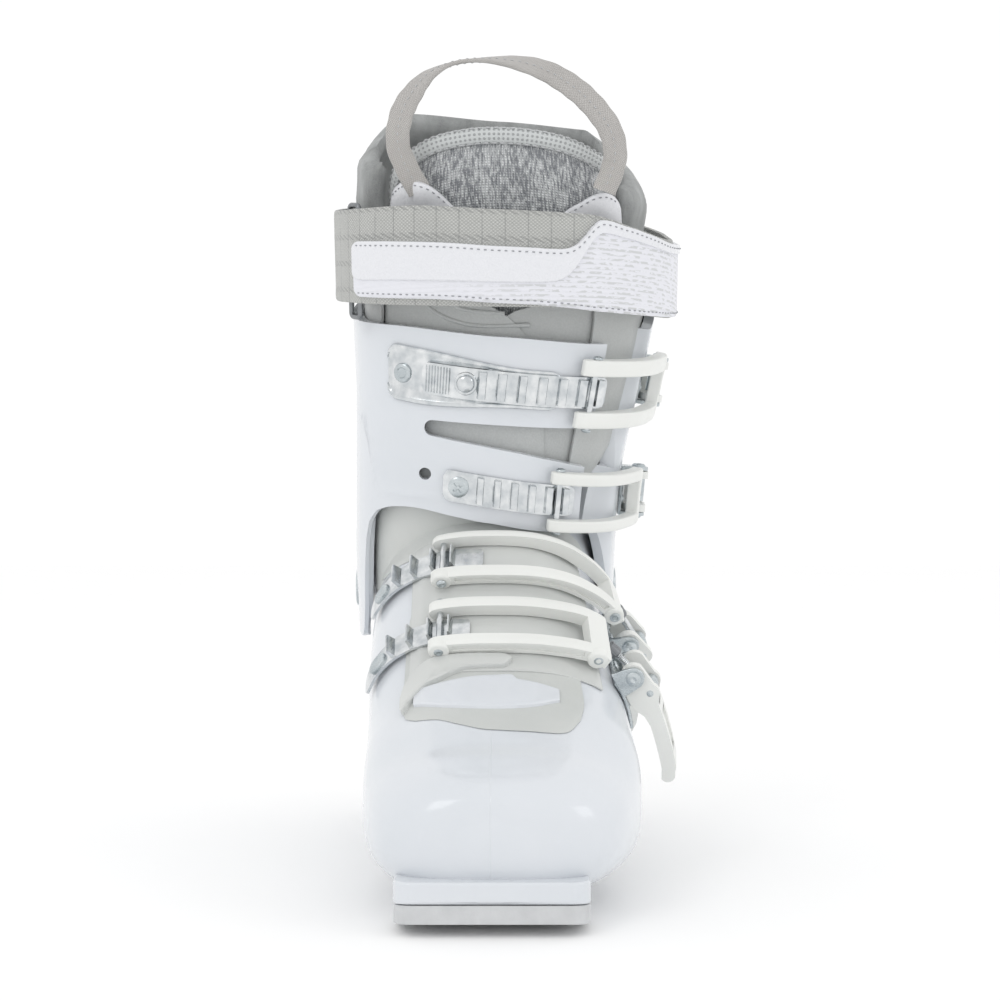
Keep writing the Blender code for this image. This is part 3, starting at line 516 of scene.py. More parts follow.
# ---------------------------------------------------------------- materials

# sockets of a Mix node set to colour: share, first and second colour; and its result
MIX_INPUTS, MIX_COLOUR = (0, 6, 7), 2


class Look:
    """One procedural material; its textures are in millimetres."""

    def __init__(self, name, colour, roughness, metallic=0.0, coat=0.0, sheen=0.0, soft=0.0):
        self.material = bpy.data.materials.new(name)
        self.material.use_nodes = True
        self.tree = self.material.node_tree
        self.shader = self.tree.nodes["Principled BSDF"]
        values = {"Base Color": (*colour, 1.0), "Roughness": roughness, "Metallic": metallic,
                  "Coat Weight": coat, "Coat Roughness": 0.06, "Sheen Weight": sheen, "Sheen Roughness": 0.5}
        if soft:
            values.update({"Subsurface Weight": soft, "Subsurface Scale": 0.0025})
        for socket, value in values.items():
            self.shader.inputs[socket].default_value = value
        self.normal = None

    def node(self, kind, inputs, output=0, **settings):
        made = self.tree.nodes.new("ShaderNode" + kind)
        for key, value in settings.items():
            setattr(made, key, value)
        for key, value in inputs.items():
            self.wire(value, made.inputs[key])
        return made.outputs[output]

    def wire(self, value, socket):
        if isinstance(value, bpy.types.NodeSocket):
            self.tree.links.new(value, socket)
        else:
            if isinstance(value, tuple) and len(value) == 3 and len(socket.default_value) == 4:
                value = (*value, 1.0)
            socket.default_value = value

    def space(self, scale=(1.0, 1.0, 1.0), turn=(0.0, 0.0, 0.0)):
        """Object space in millimetres, stretched by scale."""
        here = self.node("TexCoord", {}, "Object")
        return self.node("Mapping", {"Vector": here, "Scale": tuple(1000.0 * s for s in scale),
                                     "Rotation": turn})

    def cloth_space(self, scale=(1.0, 1.0, 1.0)):
        """Millimetres along and across a sheet."""
        here = self.node("UVMap", {}, uv_map="mm")
        return self.node("Mapping", {"Vector": here, "Scale": scale})

    def noise(self, place, size, detail=2.0, roughness=0.5):
        return self.node("TexNoise", {"Vector": place, "Scale": 1.0 / size, "Detail": detail,
                                      "Roughness": roughness})

    def cells(self, place, size, feature="F1", output="Distance"):
        return self.node("TexVoronoi", {"Vector": place, "Scale": 1.0 / size}, output, feature=feature)

    def waves(self, place, size, direction="X", profile="SIN", distortion=0.0):
        """Bands size apart."""
        return self.node("TexWave", {"Vector": place, "Scale": 0.314 / size, "Distortion": distortion},
                         "Fac", bands_direction=direction, wave_profile=profile)

    def maths(self, operation, a, b=0.0):
        return self.node("Math", {0: a, 1: b}, operation=operation)

    def fit(self, value, low, high, to_low=0.0, to_high=1.0):
        return self.node("MapRange", {"Value": value, "From Min": low, "From Max": high,
                                      "To Min": to_low, "To Max": to_high})

    def mix(self, share, a, b):
        made = self.tree.nodes.new("ShaderNodeMix")
        made.data_type = "RGBA"
        for value, socket in zip((share, a, b), (made.inputs[k] for k in MIX_INPUTS)):
            self.wire(value, socket)
        return made.outputs[MIX_COLOUR]

    def colour(self, value):
        self.wire(value, self.shader.inputs["Base Color"])

    def rough(self, value):
        self.wire(value, self.shader.inputs["Roughness"])

    def bump(self, height, depth, strength=1.0):
        """Relief of the given depth in millimetres, on top of earlier relief."""
        inputs = {"Height": height, "Distance": depth * MM, "Strength": strength}
        if self.normal is not None:
            inputs["Normal"] = self.normal
        self.normal = self.node("Bump", inputs)
        self.wire(self.normal, self.shader.inputs["Normal"])


def plastic(name, light, dark, roughness, coat, grain, depth, soft=0.0, parting=False):
    """Moulded plastic: slight cloudiness, fine grain and a few handling marks."""
    look = Look(name, light, roughness, coat=coat, soft=soft)
    place = look.space()
    cloud = look.fit(look.noise(place, 34.0, 3.0), 0.35, 0.68)
    look.colour(look.mix(cloud, light, dark))
    marks = look.noise(look.space((1.0, 0.25, 1.0), (0.3, 0.5, 0.2)), 2.4, 6.0, 0.62)
    look.rough(look.fit(marks, 0.35, 0.75, roughness * 0.82, roughness * 1.5))
    look.bump(look.noise(place, grain, 3.0), depth)
    look.bump(look.noise(place, 9.0, 2.0), depth * 1.6, 0.6)
    if parting:
        side = look.node("SeparateXYZ", {"Vector": place}, 0)
        off = look.maths("ABSOLUTE", look.maths("ADD", side, 0.6))
        look.bump(look.fit(off, 0.0, 0.35), 0.08)
    return look.material


def metal(name, light, dark, roughness, brushed, pits):
    """Plated metal: drawn streaks, tint patches and fine pits."""
    look = Look(name, light, roughness, metallic=1.0)
    place = look.space()
    tint = look.fit(look.noise(place, 5.0, 3.0), 0.3, 0.7)
    look.colour(look.mix(tint, light, dark))
    streaks = look.noise(look.space((0.25, 0.25, 4.0)), 0.6, 4.0)
    look.rough(look.fit(streaks, 0.3, 0.75, roughness * 0.7, roughness * 1.7))
    look.bump(streaks, brushed)
    look.bump(look.noise(place, 0.5, 2.0), pits)
    return look.material


def velvet():
    look = Look("velvet", (0.30, 0.33, 0.32), 0.85, sheen=0.12)
    place = look.space()
    brushed = look.noise(look.space((1.0, 1.0, 0.35)), 9.0, 5.0, 0.65)
    pile = look.noise(place, 0.55, 3.0, 0.7)
    tone = look.mix(look.fit(brushed, 0.36, 0.66), (0.235, 0.24, 0.24), (0.385, 0.392, 0.392))
    look.colour(look.mix(look.fit(pile, 0.35, 0.7, 0.0, 0.4), tone, (0.41, 0.44, 0.43)))
    look.bump(pile, 0.22)
    look.bump(brushed, 0.8, 0.5)
    return look.material


def knit():
    """Heather jacquard: short upright dashes of light yarn on grey."""
    look = Look("knit", (0.35, 0.36, 0.37), 0.85, sheen=0.15)
    dashes = look.noise(look.cloth_space((1.0, 0.22, 1.0)), 0.85, 3.0, 0.7)
    areas = look.noise(look.cloth_space((1.0, 0.35, 1.0)), 6.0, 2.0)
    shine = look.fit(look.maths("ADD", dashes, look.fit(areas, 0.3, 0.7, -0.09, 0.09)), 0.42, 0.60)
    courses = look.waves(look.cloth_space(), 1.1, "Y")
    wales = look.waves(look.cloth_space(), 1.5, "X")
    shine = look.maths("MULTIPLY", shine,
                       look.fit(look.maths("MULTIPLY", courses, wales), 0.0, 0.8, 0.55, 1.15))
    look.colour(look.mix(shine, (0.215, 0.225, 0.24), (0.74, 0.755, 0.76)))
    look.bump(look.maths("ADD", look.maths("MULTIPLY", courses, wales), dashes), 0.3)
    return look.material


def spacer_mesh():
    """Open knit edging with a grid of small dark holes."""
    look = Look("spacer_mesh", (0.60, 0.62, 0.62), 0.8, sheen=0.3)
    place = look.cloth_space()
    ribs = look.maths("MULTIPLY", look.waves(place, 1.9, "X"), look.waves(place, 1.9, "Y"))
    open_hole = look.fit(ribs, 0.35, 0.75)
    look.colour(look.mix(open_hole, (0.56, 0.58, 0.58), (0.36, 0.375, 0.38)))
    look.bump(open_hole, 0.35)
    look.bump(look.noise(look.cloth_space(), 0.4, 2.0), 0.1)
    return look.material


def woven(name, light, dark, pitch, lines=0.0, twill=0.0, line_colour=(0.26, 0.265, 0.26)):
    """Plain weave, with twill bands and a grid of darker lines if asked for."""
    look = Look(name, light, 0.82, sheen=0.25)
    place = look.cloth_space()
    weft, warp = look.waves(place, pitch, "X"), look.waves(place, pitch * 0.8, "Y")
    weave = look.maths("MAXIMUM", look.maths("MULTIPLY", weft, look.maths("SUBTRACT", 1.0, warp)),
                       look.maths("MULTIPLY", warp, look.maths("SUBTRACT", 1.0, weft)))
    fuzz = look.noise(place, 0.35, 3.0, 0.7)
    tone = look.mix(look.fit(weave, 0.1, 0.85), dark, light)
    tone = look.mix(look.fit(fuzz, 0.35, 0.75, 0.0, 0.35), tone, dark)
    patches = look.fit(look.noise(place, 14.0, 3.0), 0.35, 0.7, 0.0, 0.28)
    tone = look.mix(patches, tone, dark)
    relief = look.maths("ADD", weave, look.maths("MULTIPLY", fuzz, 0.5))
    if twill:
        slanted = look.waves(look.cloth_space((0.7, 1.6, 1.0)), twill, "DIAGONAL", distortion=0.4)
        band = look.fit(look.waves(place, 10.8, "Y"), 0.86, 0.92)
        tone = look.mix(look.maths("MULTIPLY", band, look.fit(slanted, 0.5, 0.8, 0.0, 0.6)), tone,
                        line_colour)
    if lines:
        broken = look.fit(look.noise(place, 1.1, 3.0), 0.36, 0.55, 0.2, 0.7)
        line = look.fit(look.waves(place, lines, "X"), 0.985, 0.997)
        tone = look.mix(look.maths("MULTIPLY", line, broken), tone, line_colour)
    look.colour(tone)
    look.bump(relief, 0.22)
    return look.material


def leather(name, light, dark, roughness):
    """Coated synthetic leather with a pebble grain."""
    look = Look(name, light, roughness, coat=0.15)
    place = look.space()
    pebbles = look.cells(place, 0.75, "SMOOTH_F1")
    look.colour(look.mix(look.fit(pebbles, 0.15, 0.6, 0.0, 0.7), light, dark))
    look.rough(look.fit(look.noise(place, 3.0, 4.0), 0.35, 0.7, roughness * 0.8, roughness * 1.25))
    look.bump(pebbles, 0.06)
    look.bump(look.noise(place, 6.0, 3.0), 0.15, 0.6)
    return look.material


def printed_weave():
    """White strap end with rows of small grey dashes."""
    look = Look("printed_weave", (0.74, 0.75, 0.79), 0.6, sheen=0.1)
    dashes = look.noise(look.space((0.36, 0.36, 1.0)), 1.3, 2.0, 0.6)
    rows = look.waves(look.space(), 1.9, "Z")
    share = look.maths("MULTIPLY", look.fit(dashes, 0.47, 0.52), look.fit(rows, 0.35, 0.6))
    side = look.node("SeparateXYZ", {"Vector": look.space()}, 0)
    share = look.maths("MULTIPLY", share, look.fit(side, -30.0, 20.0))
    look.colour(look.mix(share, (0.76, 0.765, 0.81), (0.60, 0.61, 0.62)))
    look.bump(look.maths("ADD", rows, dashes), 0.14)
    return look.material


def rubber(name, light, dark, roughness):
    look = Look(name, light, roughness)
    place = look.space()
    look.colour(look.mix(look.fit(look.noise(place, 7.0, 4.0), 0.35, 0.7), light, dark))
    look.rough(look.fit(look.noise(place, 1.4, 3.0), 0.3, 0.7, roughness * 0.8, roughness * 1.2))
    look.bump(look.noise(place, 0.6, 3.0), 0.08)
    look.bump(look.cells(place, 1.2), 0.05)
    return look.material


def floor_paint():
    look = Look("floor", (0.98, 0.98, 0.98), 0.8)
    look.colour(look.mix(look.fit(look.noise(look.space(), 160.0, 3.0), 0.3, 0.7),
                         (0.975, 0.975, 0.975), (0.985, 0.985, 0.985)))
    return look.material


# light and dark colour, roughness, coat, grain and its depth in millimetres
SHELL_LOOK = ((0.69, 0.715, 0.75), (0.665, 0.695, 0.73), 0.16, 0.3, 0.9, 0.012)
MATERIALS = {
    "shell_plastic": plastic("shell_plastic", *SHELL_LOOK),
    "shell_parted": plastic("shell_parted", *SHELL_LOOK, parting=True),
    "bail_plastic": plastic("bail_plastic", (0.80, 0.81, 0.785), (0.77, 0.78, 0.755), 0.36, 0.0, 0.5, 0.03),
    "soft_grey": plastic("soft_grey", (0.58, 0.595, 0.58), (0.535, 0.555, 0.54), 0.42, 0.1, 0.6, 0.03),
    "grey_flap": plastic("grey_flap", (0.61, 0.625, 0.61), (0.57, 0.585, 0.575), 0.13, 0.5, 1.0, 0.015),
    "board_plastic": plastic("board_plastic", (0.20, 0.20, 0.21), (0.15, 0.15, 0.16), 0.55, 0.0, 0.6, 0.05),
    "sole_rubber": rubber("sole_rubber", (0.60, 0.61, 0.62), (0.54, 0.55, 0.56), 0.55),
    "chrome": metal("chrome", (0.76, 0.775, 0.78), (0.50, 0.53, 0.55), 0.15, 0.01, 0.004),
    "zinc": metal("zinc", (0.60, 0.64, 0.655), (0.44, 0.485, 0.505), 0.26, 0.01, 0.006),
    "dark_steel": metal("dark_steel", (0.27, 0.28, 0.29), (0.20, 0.21, 0.22), 0.30, 0.01, 0.01),
    "grey_thread": woven("grey_thread", (0.42, 0.43, 0.45), (0.30, 0.31, 0.33), 0.3),
    "velvet": velvet(),
    "knit": knit(),
    "spacer_mesh": spacer_mesh(),
    "liner_foam": woven("liner_foam", (0.60, 0.615, 0.615), (0.50, 0.515, 0.515), 0.9),
    "liner_panel": leather("liner_panel", (0.52, 0.535, 0.53), (0.47, 0.485, 0.48), 0.5),
    "white_leather": leather("white_leather", (0.765, 0.77, 0.80), (0.735, 0.745, 0.775), 0.3),
    "printed_weave": printed_weave(),
    "webbing": woven("webbing", (0.60, 0.605, 0.585), (0.37, 0.375, 0.36), 1.7, lines=9.4, twill=1.6),
    "loop_webbing": woven("loop_webbing", (0.60, 0.585, 0.565), (0.39, 0.375, 0.36), 1.2),
    "thread": woven("thread", (0.72, 0.73, 0.74), (0.5, 0.51, 0.52), 0.3),
}
SLOTS = {name: name for name in MATERIALS}
SLOTS.update({"shell_parted": "shell_plastic", "spacer_mesh": "knit", "liner_panel": "liner_foam",
              "printed_weave": "white_leather",
              "thread": "white_leather", "grey_thread": "white_leather"})


# ---------------------------------------------------------------- lower shell and soles

THROAT_START, THROAT_HALF = 6.8, 24.0
SOLE_BREAK_Y, SOLE_BREAK_Z = -205.0, 4.5
TOE_TIP_Y, TOE_TIP_Z = -260.0, 11.6
# planes seen from the front, upright and along the lean
ACROSS = Vector((1.0, 0.0, 0.0))
FRONT = frame_from((0.0, 0.0, 0.0), ACROSS, Vector((0.0, 0.0, 1.0)), Vector((0.0, -1.0, 0.0)))
CUFF_FRONT = frame_from(PIVOT, ACROSS, UP, -BACK)


def sole_line(y):
    share = max(0.0, (SOLE_BREAK_Y - y) / (SOLE_BREAK_Y - TOE_TIP_Y))
    return SOLE_BREAK_Z + (TOE_TIP_Z - SOLE_BREAK_Z) * share


def moulded_shell(position, angle, offset):
    """The shell's skin with a flat underside; positions from -1 to 0 close the toe."""
    if position < 0.0:
        rim = moulded_shell(0.0, angle, offset)
        size = 1.0 + position
        return Vector((rim.x * size, rim.y - 1.1 * (1.0 - size * size), 28.5 + (rim.z - 28.5) * size))
    toe_crease = 0.7 * bump(position, 3.6, 0.35) * bump(angle, 90.0, 60.0)
    point = shell_at(position, angle, offset - toe_crease)
    point.z = max(point.z, sole_line(point.y) + 0.2)
    return point


def shell_moulding():
    angles = spread(-90.0, 270.0, 120)[:-1]
    positions = [-1.0, -0.96, -0.85, -0.65, -0.4, -0.18, *spread(0.0, 2.0, 20)[:-1],
                 *spread(2.0, THROAT_START, 22)[:-1], *spread(THROAT_START, SHELL_RIM, 44)]

    def present(i, j):
        return positions[i] < THROAT_START or abs(angles[j] + 1.5 - 90.0) > THROAT_HALF

    shell = sheet_piece("shell_moulding", moulded_shell, positions, angles, fixed(0.0), fixed(-SHELL_WALL),
                        "shell_parted", "shell", present=present, wrap=True, replaces=["lower_shell"])
    add_bevel(shell, 1.2, 3, 50.0)


def plan_piece(name, outline, low, high, material, bevel, **more):
    """An upright block; its underside and top are functions of y."""
    sections = [[Vector((x, y, height(y))) for x, y in outline] for height in (low, high)]
    return loft_piece(name, sections, material, "shell", bevel=bevel, segments=3, **more)


def soles():
    half, radius = 34.5, 7.0
    right = arc((half - radius, TOE_TIP_Y + radius), radius, -90.0, 0.0, 10)
    toe_plan = right + [(34.5, -222.0), (-34.5, -222.0)] + [(-x, y) for x, y in reversed(right)]
    toe_lug = plan_piece("toe_lug", toe_plan, sole_line, fixed(19.2), "shell_plastic", 1.0)
    notch = prism_piece("lug_notch", [(-7.0, 11.0), (7.0, 11.0), (5.5, 12.6),
                                      (-5.5, 12.6)], 259.2, 262.0, FRONT,
                        "shell_plastic", None)
    cut(toe_lug, notch)
    heel_curve = arc((25.0, 32.0), 8.0, 0.0, 90.0, 10)
    heel_back = [(33.0, 8.0), *heel_curve, *[(-x, y) for x, y in reversed(heel_curve)], (-33.0, 8.0)]
    plan_piece("heel_lug", heel_back, fixed(10.3), fixed(30.0), "shell_plastic", 1.4)

    def under(y):
        return 4.7 * max(0.0, (-215.0 - y) / 45.0) ** 1.5

    stations = [-260.0, -258.6, -257.0, -254.0, *spread(-250.0, -215.0, 7), *spread(-205.0, -148.0, 6)]
    halves = [28.0, 30.8, 32.5, 33.8, *[34.5] * 4, 34.7, 35.0, 35.3, 35.5, *[36.0] * 5, 34.5, 33.0]
    sections = [[Vector((x, y, z)) for x, z in ((-h, under(y)), (h, under(y)), (h, sole_line(y) - 0.3),
                                                (-h, sole_line(y) - 0.3))] for y, h in zip(stations, halves)]
    toe_sole = loft_piece("toe_sole_pad", sections, "sole_rubber", "shell", replaces=["toe_sole"])
    heel_plan = [(33.0, -28.0), *heel_curve, *[(-x, y) for x, y in reversed(heel_curve)], (-33.0, -28.0)]
    heel_sole = plan_piece("heel_sole_pad", heel_plan, fixed(0.0), fixed(10.0), "sole_rubber", 0.0,
                           replaces=["heel_sole"])
    for pad, places in ((toe_sole, (-162.0, -176.0, -190.0, -204.0)), (heel_sole, (-18.0, -4.0, 10.0, 24.0))):
        for y in places:
            groove = [Vector((x, y + dy, z)) for x, dy, z in ((-50, -1.3, -1), (0, 3.2, -1), (50, -1.3, -1),
                                                              (50, 1.3, -1), (0, 5.8, -1), (-50, 1.3, -1))]
            cutter = loft_piece("tread", [groove, [p + Vector((0.0, 0.0, 2.6)) for p in groove]],
                                "sole_rubber", None)
            cut(pad, cutter)
        add_bevel(pad, 0.7, 3, 40.0)


def laid_panel(name, at, us, vs, low, high, outline, frame_, material, body, reach=(-400.0, 400.0), **more):
    """A thin panel on a surface, cut to an outline seen from the front."""
    panel = sheet_piece(name, at, us, vs, fixed(high), fixed(low), material, body, **more)
    cutter = prism_piece(f"{name}_cutter", outline, *reach, frame_, material, None)
    cut(panel, cutter, "INTERSECT")
    add_bevel(panel, min(0.6, (high - low) * 0.45), 3, 45.0)
    return panel


# edges of the panels over the throat: angle, lower and upper position
ZONE_EDGES = [(61.5, 5.2, 8.0), (62.5, 4.7, 8.2), (66.0, 4.25, 8.4), (71.0, 4.1, 8.4), (82.0, 4.08, 8.4),
              (90.0, 4.12, 8.4), (97.0, 4.3, 8.4), (106.0, 4.55, 8.4), (118.0, 4.68, 8.4),
              (123.5, 4.85, 8.2), (125.2, 5.15, 7.6)]
PANEL_EDGES = [(72.8, 5.12, 5.6), (80.0, 4.92, 5.78), (86.2, 4.82, 5.92), (87.2, 4.81, 6.08),
               (90.0, 4.8, 6.06), (98.0, 4.84, 5.95), (107.0, 4.95, 5.82), (117.8, 5.12, 5.72)]
ARC_EDGES = [(87.2, 6.5, 6.62), (88.6, 6.3, 6.72), (92.0, 6.26, 6.74), (97.0, 6.2, 6.74),
             (105.5, 5.92, 6.76), (111.0, 5.78, 6.72), (116.0, 5.5, 6.56), (120.5, 5.2, 6.3),
             (123.5, 5.0, 5.95), (125.0, 5.0, 5.5)]
GUSSET_EDGES = [(36.0, 11.6, 12.4), (44.0, 11.0, 12.9), (60.0, 10.5, 13.0), (90.0, 10.3, 12.9),
                (120.0, 10.4, 13.2), (136.0, 10.8, 13.4), (150.0, 11.5, 13.5), (158.0, 12.4, 13.6),
                (163.0, 13.3, 13.9)]


# angle round the cuff, then the heights of the backing sheet's lower and upper edges
BACKING_EDGES = [(204.0, 2.0, 52.0), (212.0, 6.0, 56.0), (225.0, 18.0, 60.0), (240.0, 28.0, 62.0),
                 (258.0, 34.0, 62.0), (276.0, 34.0, 60.0)]


def throat_parts():
    """Soft zone, tongue panel, arc, cover, gusset and backing sheet over the shell's opening."""
    banded_piece("throat_zone", shell_at, ZONE_EDGES, 0.4, 0.9, "soft_grey", "shell", bevel=0.3,
                 replaces=["instep_gasket"])
    banded_piece("throat_tongue", shell_at, PANEL_EDGES, 0.8, 2.2, "shell_plastic", "shell", bevel=0.25)
    banded_piece("throat_arc", shell_at, ARC_EDGES, 1.0, 3.6, "grey_flap", "shell", bevel=0.4)

    def cover_top(position, angle):
        return (1.2 + 0.5 * bump(angle, 87.0, 16.0) + 0.7 * bump(angle, 116.0, 3.0)
                - 0.3 * bump(angle, 60.0, 6.0))

    sheet_piece("throat_cover", shell_at, spread(6.2, 10.8, 40), spread(48.0, 122.5, 60), cover_top,
                fixed(0.2), "grey_flap", "shell", bevel=0.4, replaces=["throat_flap"])
    banded_piece("instep_gusset", shell_at, GUSSET_EDGES, 0.3, 0.8, "soft_grey", "shell", bevel=0.2)
    banded_piece("gusset_backing", behind_cuff(3.0), BACKING_EDGES, 0.0, 1.2, "soft_grey", "shell",
                 bevel=0.3)


# ---------------------------------------------------------------- cuff

def cuff_inset(angle):
    return -(CUFF_WALL + 1.5) * (1.0 - ease(angle, -44.0, -22.0))


# lower edge of the cuff: angle, height
FLAP_LOW = [(190.0, -17.0), (200.0, -16.5), (204.0, -12.0), (207.0, 0.0), (209.0, 16.0), (211.0, 30.0),
            (214.0, 38.5), (221.0, 44.8), (232.0, 48.0), (246.0, 48.5), (263.0, 45.0), (278.0, 40.6),
            (291.0, 38.4), (307.0, 37.5)]


def cuff_low(angle):
    lateral = 1.0 - ease(angle, -38.0, -14.0)
    return table_at(FLAP_LOW, angle)[0] + 52.0 * lateral


def cuff_high(angle):
    """The upper rim falls from the spoiler at the back to the free end of the upper flap."""
    back = math.exp(-((angle - 90.0) / 42.0) ** 2)
    sides = 4.0 * ease(angle, -30.0, 10.0) * (1.0 - ease(angle, 170.0, 205.0))
    flap = 4.5 - 8.0 * ease(angle, 228.0, 312.0) - 4.5 * (1.0 - ease(angle, -30.0, 40.0))
    return 121.0 + sides + flap + 22.0 * back


def cuff_relief(height, angle):
    """A raised spine at the back, sunk side panels and a thin bead round the lower flap."""
    spine = 1.0 * (ease(angle, 66.0, 72.0) - ease(angle, 108.0, 114.0)) * ease(height, 0.0, 30.0)
    sides = sum(ease(angle, c - 34.0, c - 26.0) - ease(angle, c + 26.0, c + 34.0) for c in (20.0, 160.0))
    sunk = 0.8 * sides * (ease(height, 28.0, 34.0) - ease(height, 92.0, 104.0))
    bead_height = 84.0 - 30.0 * ease(angle, 206.0, 224.0)
    bead = (0.45 * bump(height, bead_height, 1.6) * ease(angle, 192.0, 198.0)
            * (1.0 - ease(angle, 246.0, 262.0)))
    return spine - sunk + bead


def lip(height, angle):
    """How much thinner the wall is along the medial lobe's front edge."""
    return 2.7 * (1.0 - ease(height - cuff_low(angle), 2.0, 9.0)) * ease(angle, 196.0, 204.0) \
        * (1.0 - ease(angle, 222.0, 240.0))


def cuff_moulding():
    angles = spread(LATERAL_EDGE, 200.0, 130) + spread(200.0, 216.0, 32)[1:] + spread(216.0, FLAP_END, 56)[1:]
    levels = spread(0.0, 1.0, 66)

    def place(f, angle, offset):
        height = cuff_low(angle) + (cuff_high(angle) - cuff_low(angle)) * f
        relief = cuff_relief(height, angle) if offset == 0.0 else lip(height, angle)
        slant = (4.0 + 18.0 * ease(height, 30.0, 118.0)) * (1.0 - ease(angle, LATERAL_EDGE, -8.0))
        return cuff_at(height, angle + slant, cuff_inset(angle) + offset + relief)

    moulding = sheet_piece("cuff_moulding", place, levels, angles, fixed(0.0), fixed(-CUFF_WALL),
                           "shell_plastic", "cuff", replaces=["cuff"])
    slot_side = [*arc((-25.8, 83.1), 3.35, 90.0, 262.0, 16), (-5.6, 75.9), (11.2, 72.5), (27.8, 68.4),
                 (45.0, 63.4), (62.0, 58.0), (62.0, 80.6), (48.7, 81.6)]
    cut(moulding, prism_piece("slot_cutter", slot_side, 30.0, 80.0, CUFF_FRONT, "shell_plastic", None))
    cut(moulding, prism_piece("hole_cutter", circle((-29.0, 63.5), 2.6, 32), 30.0, 80.0, CUFF_FRONT,
                              "shell_plastic", None))
    add_bevel(moulding, 1.1, 3, 50.0)


def cuff_fittings():
    for side, sign, outside in (("medial", -1.0, 62.6), ("lateral", 1.0, 55.2)):
        matrix = frame_along(PIVOT + Vector((sign * (outside - 1.0), 0.0, 0.0)), Vector((sign, 0.0, 0.0)))
        profile = [(0.0, 8.6), (1.0, 9.0), (1.6, 8.8), (1.9, 8.0), (2.0, 5.0), (1.5, 4.4), (1.4, 2.4),
                   (1.8, 2.0), (1.9, 0.05)]
        turned_piece(f"pivot_cap_{side}", profile, matrix, "zinc", "shell", 48,
                     replaces=[f"cuff_pivot_{side}"])
    matrix = frame_along(cuff_at(40.0, 90.0, 0.8), cuff_at(40.0, 90.0, 5.0) - cuff_at(40.0, 90.0, 0.0))
    screw_piece("lean_screw_head", matrix, 5.4, 1.6, "cuff", ["lean_screw"])


def screw_piece(name, matrix, radius, height, body, nodes):
    """A low round head with a cross recess."""
    head = turned_piece(name, [(-2.0, radius), (height * 0.5, radius), (height * 0.85, radius * 0.88),
                               (height, radius * 0.62), (height, 0.05)], matrix, "zinc", body, 40,
                               replaces=nodes)
    for turn in (0.6, 0.6 + math.pi / 2.0):
        across = matrix @ Matrix.Rotation(turn, 4, "Z")
        a, b = radius * 0.58, radius * 0.13
        slot = [(-a, -b), (a, -b), (a, b), (-a, b)]
        cut(head, prism_piece(f"{name}_cross", slot, height * 0.35, height + 1.0, across, "zinc", None))
    add_bevel(head, 0.15, 2, 40.0)
    return head


# ---------------------------------------------------------------- liner

COLLAR_LOW, TONGUE_LOW = 52.5, 58.0
TONGUE_MEDIAL, TONGUE_LATERAL = 208.0, 332.0


def collar_offset(height, angle):
    medial = 3.5 * bump(angle, 175.0, 45.0) * ease(height, 158.0, 172.0)
    medial -= 6.0 * bump(angle, -5.0, 40.0) * ease(height, 172.0, 200.0)
    return (-12.5 + 4.5 * ease(height, 76.0, 110.0) + 3.0 * ease(height, 150.0, 163.0)
            + 3.0 * ease(height, 163.0, 178.0) - 8.0 * ease(height, 190.0, 212.0) + medial)


def collar_low(angle):
    return COLLAR_LOW - 15.0 * math.sin(math.radians(max(0.0, min(180.0, angle))))


def collar_high(angle):
    return 211.0 - 21.0 * ease(angle, 150.0, 210.0) - 24.0 * (1.0 - ease(angle, -35.0, 45.0)) \
        + 3.0 * math.sin(math.radians(max(-50.0, min(50.0, angle - 90.0)) * 1.8))


def tongue_high(angle):
    return table_at(TONGUE_EDGE, angle)[0]


def tongue_surface(height, angle, offset):
    tucked = 1.8 * (ease(angle, 222.0, 208.0 - 1e-3) if angle < 222.0 else ease(angle, 318.0, 332.0))
    return cuff_at(height, angle, -13.0 + 4.0 * ease(height, 130.0, 200.0) - tucked + offset)


def soft_pad(name, at, angles, low, high, depth, material, body, lumps, nodes, rounds=7, levels=46):
    """A padded sheet whose edges are rounded over and whose face is softly uneven."""
    fs = spread(0.0, 1.0, levels)
    a_first, a_last = angles[0], angles[-1]

    def edge_share(f, angle):
        """1 inside, falling to 0 in a quarter circle at the pad's edges."""
        height_span = (high(angle) - low(angle)) * min(f, 1.0 - f)
        side_span = min(angle - a_first, a_last - angle) * 1.1
        near = max(0.0, min(1.0, min(height_span, side_span) / rounds))
        return math.sqrt(max(0.0, 1.0 - (1.0 - near) ** 2))

    def skin(f, angle, sign):
        height = low(angle) + (high(angle) - low(angle)) * f
        share = edge_share(f, angle)
        middle = -depth / 2.0
        place = at(height, angle, middle)
        soft = lumps * (noise.noise(place * 0.045) + 0.5 * noise.noise(place * 0.12)) * share
        return at(height, angle, middle + sign * depth / 2.0 * share + (soft if sign > 0 else 0.0))

    pad = sheet_piece(name, skin, fs, angles, fixed(1.0), fixed(-1.0), material, body, replaces=nodes,
                      sharp=85.0)
    return pad


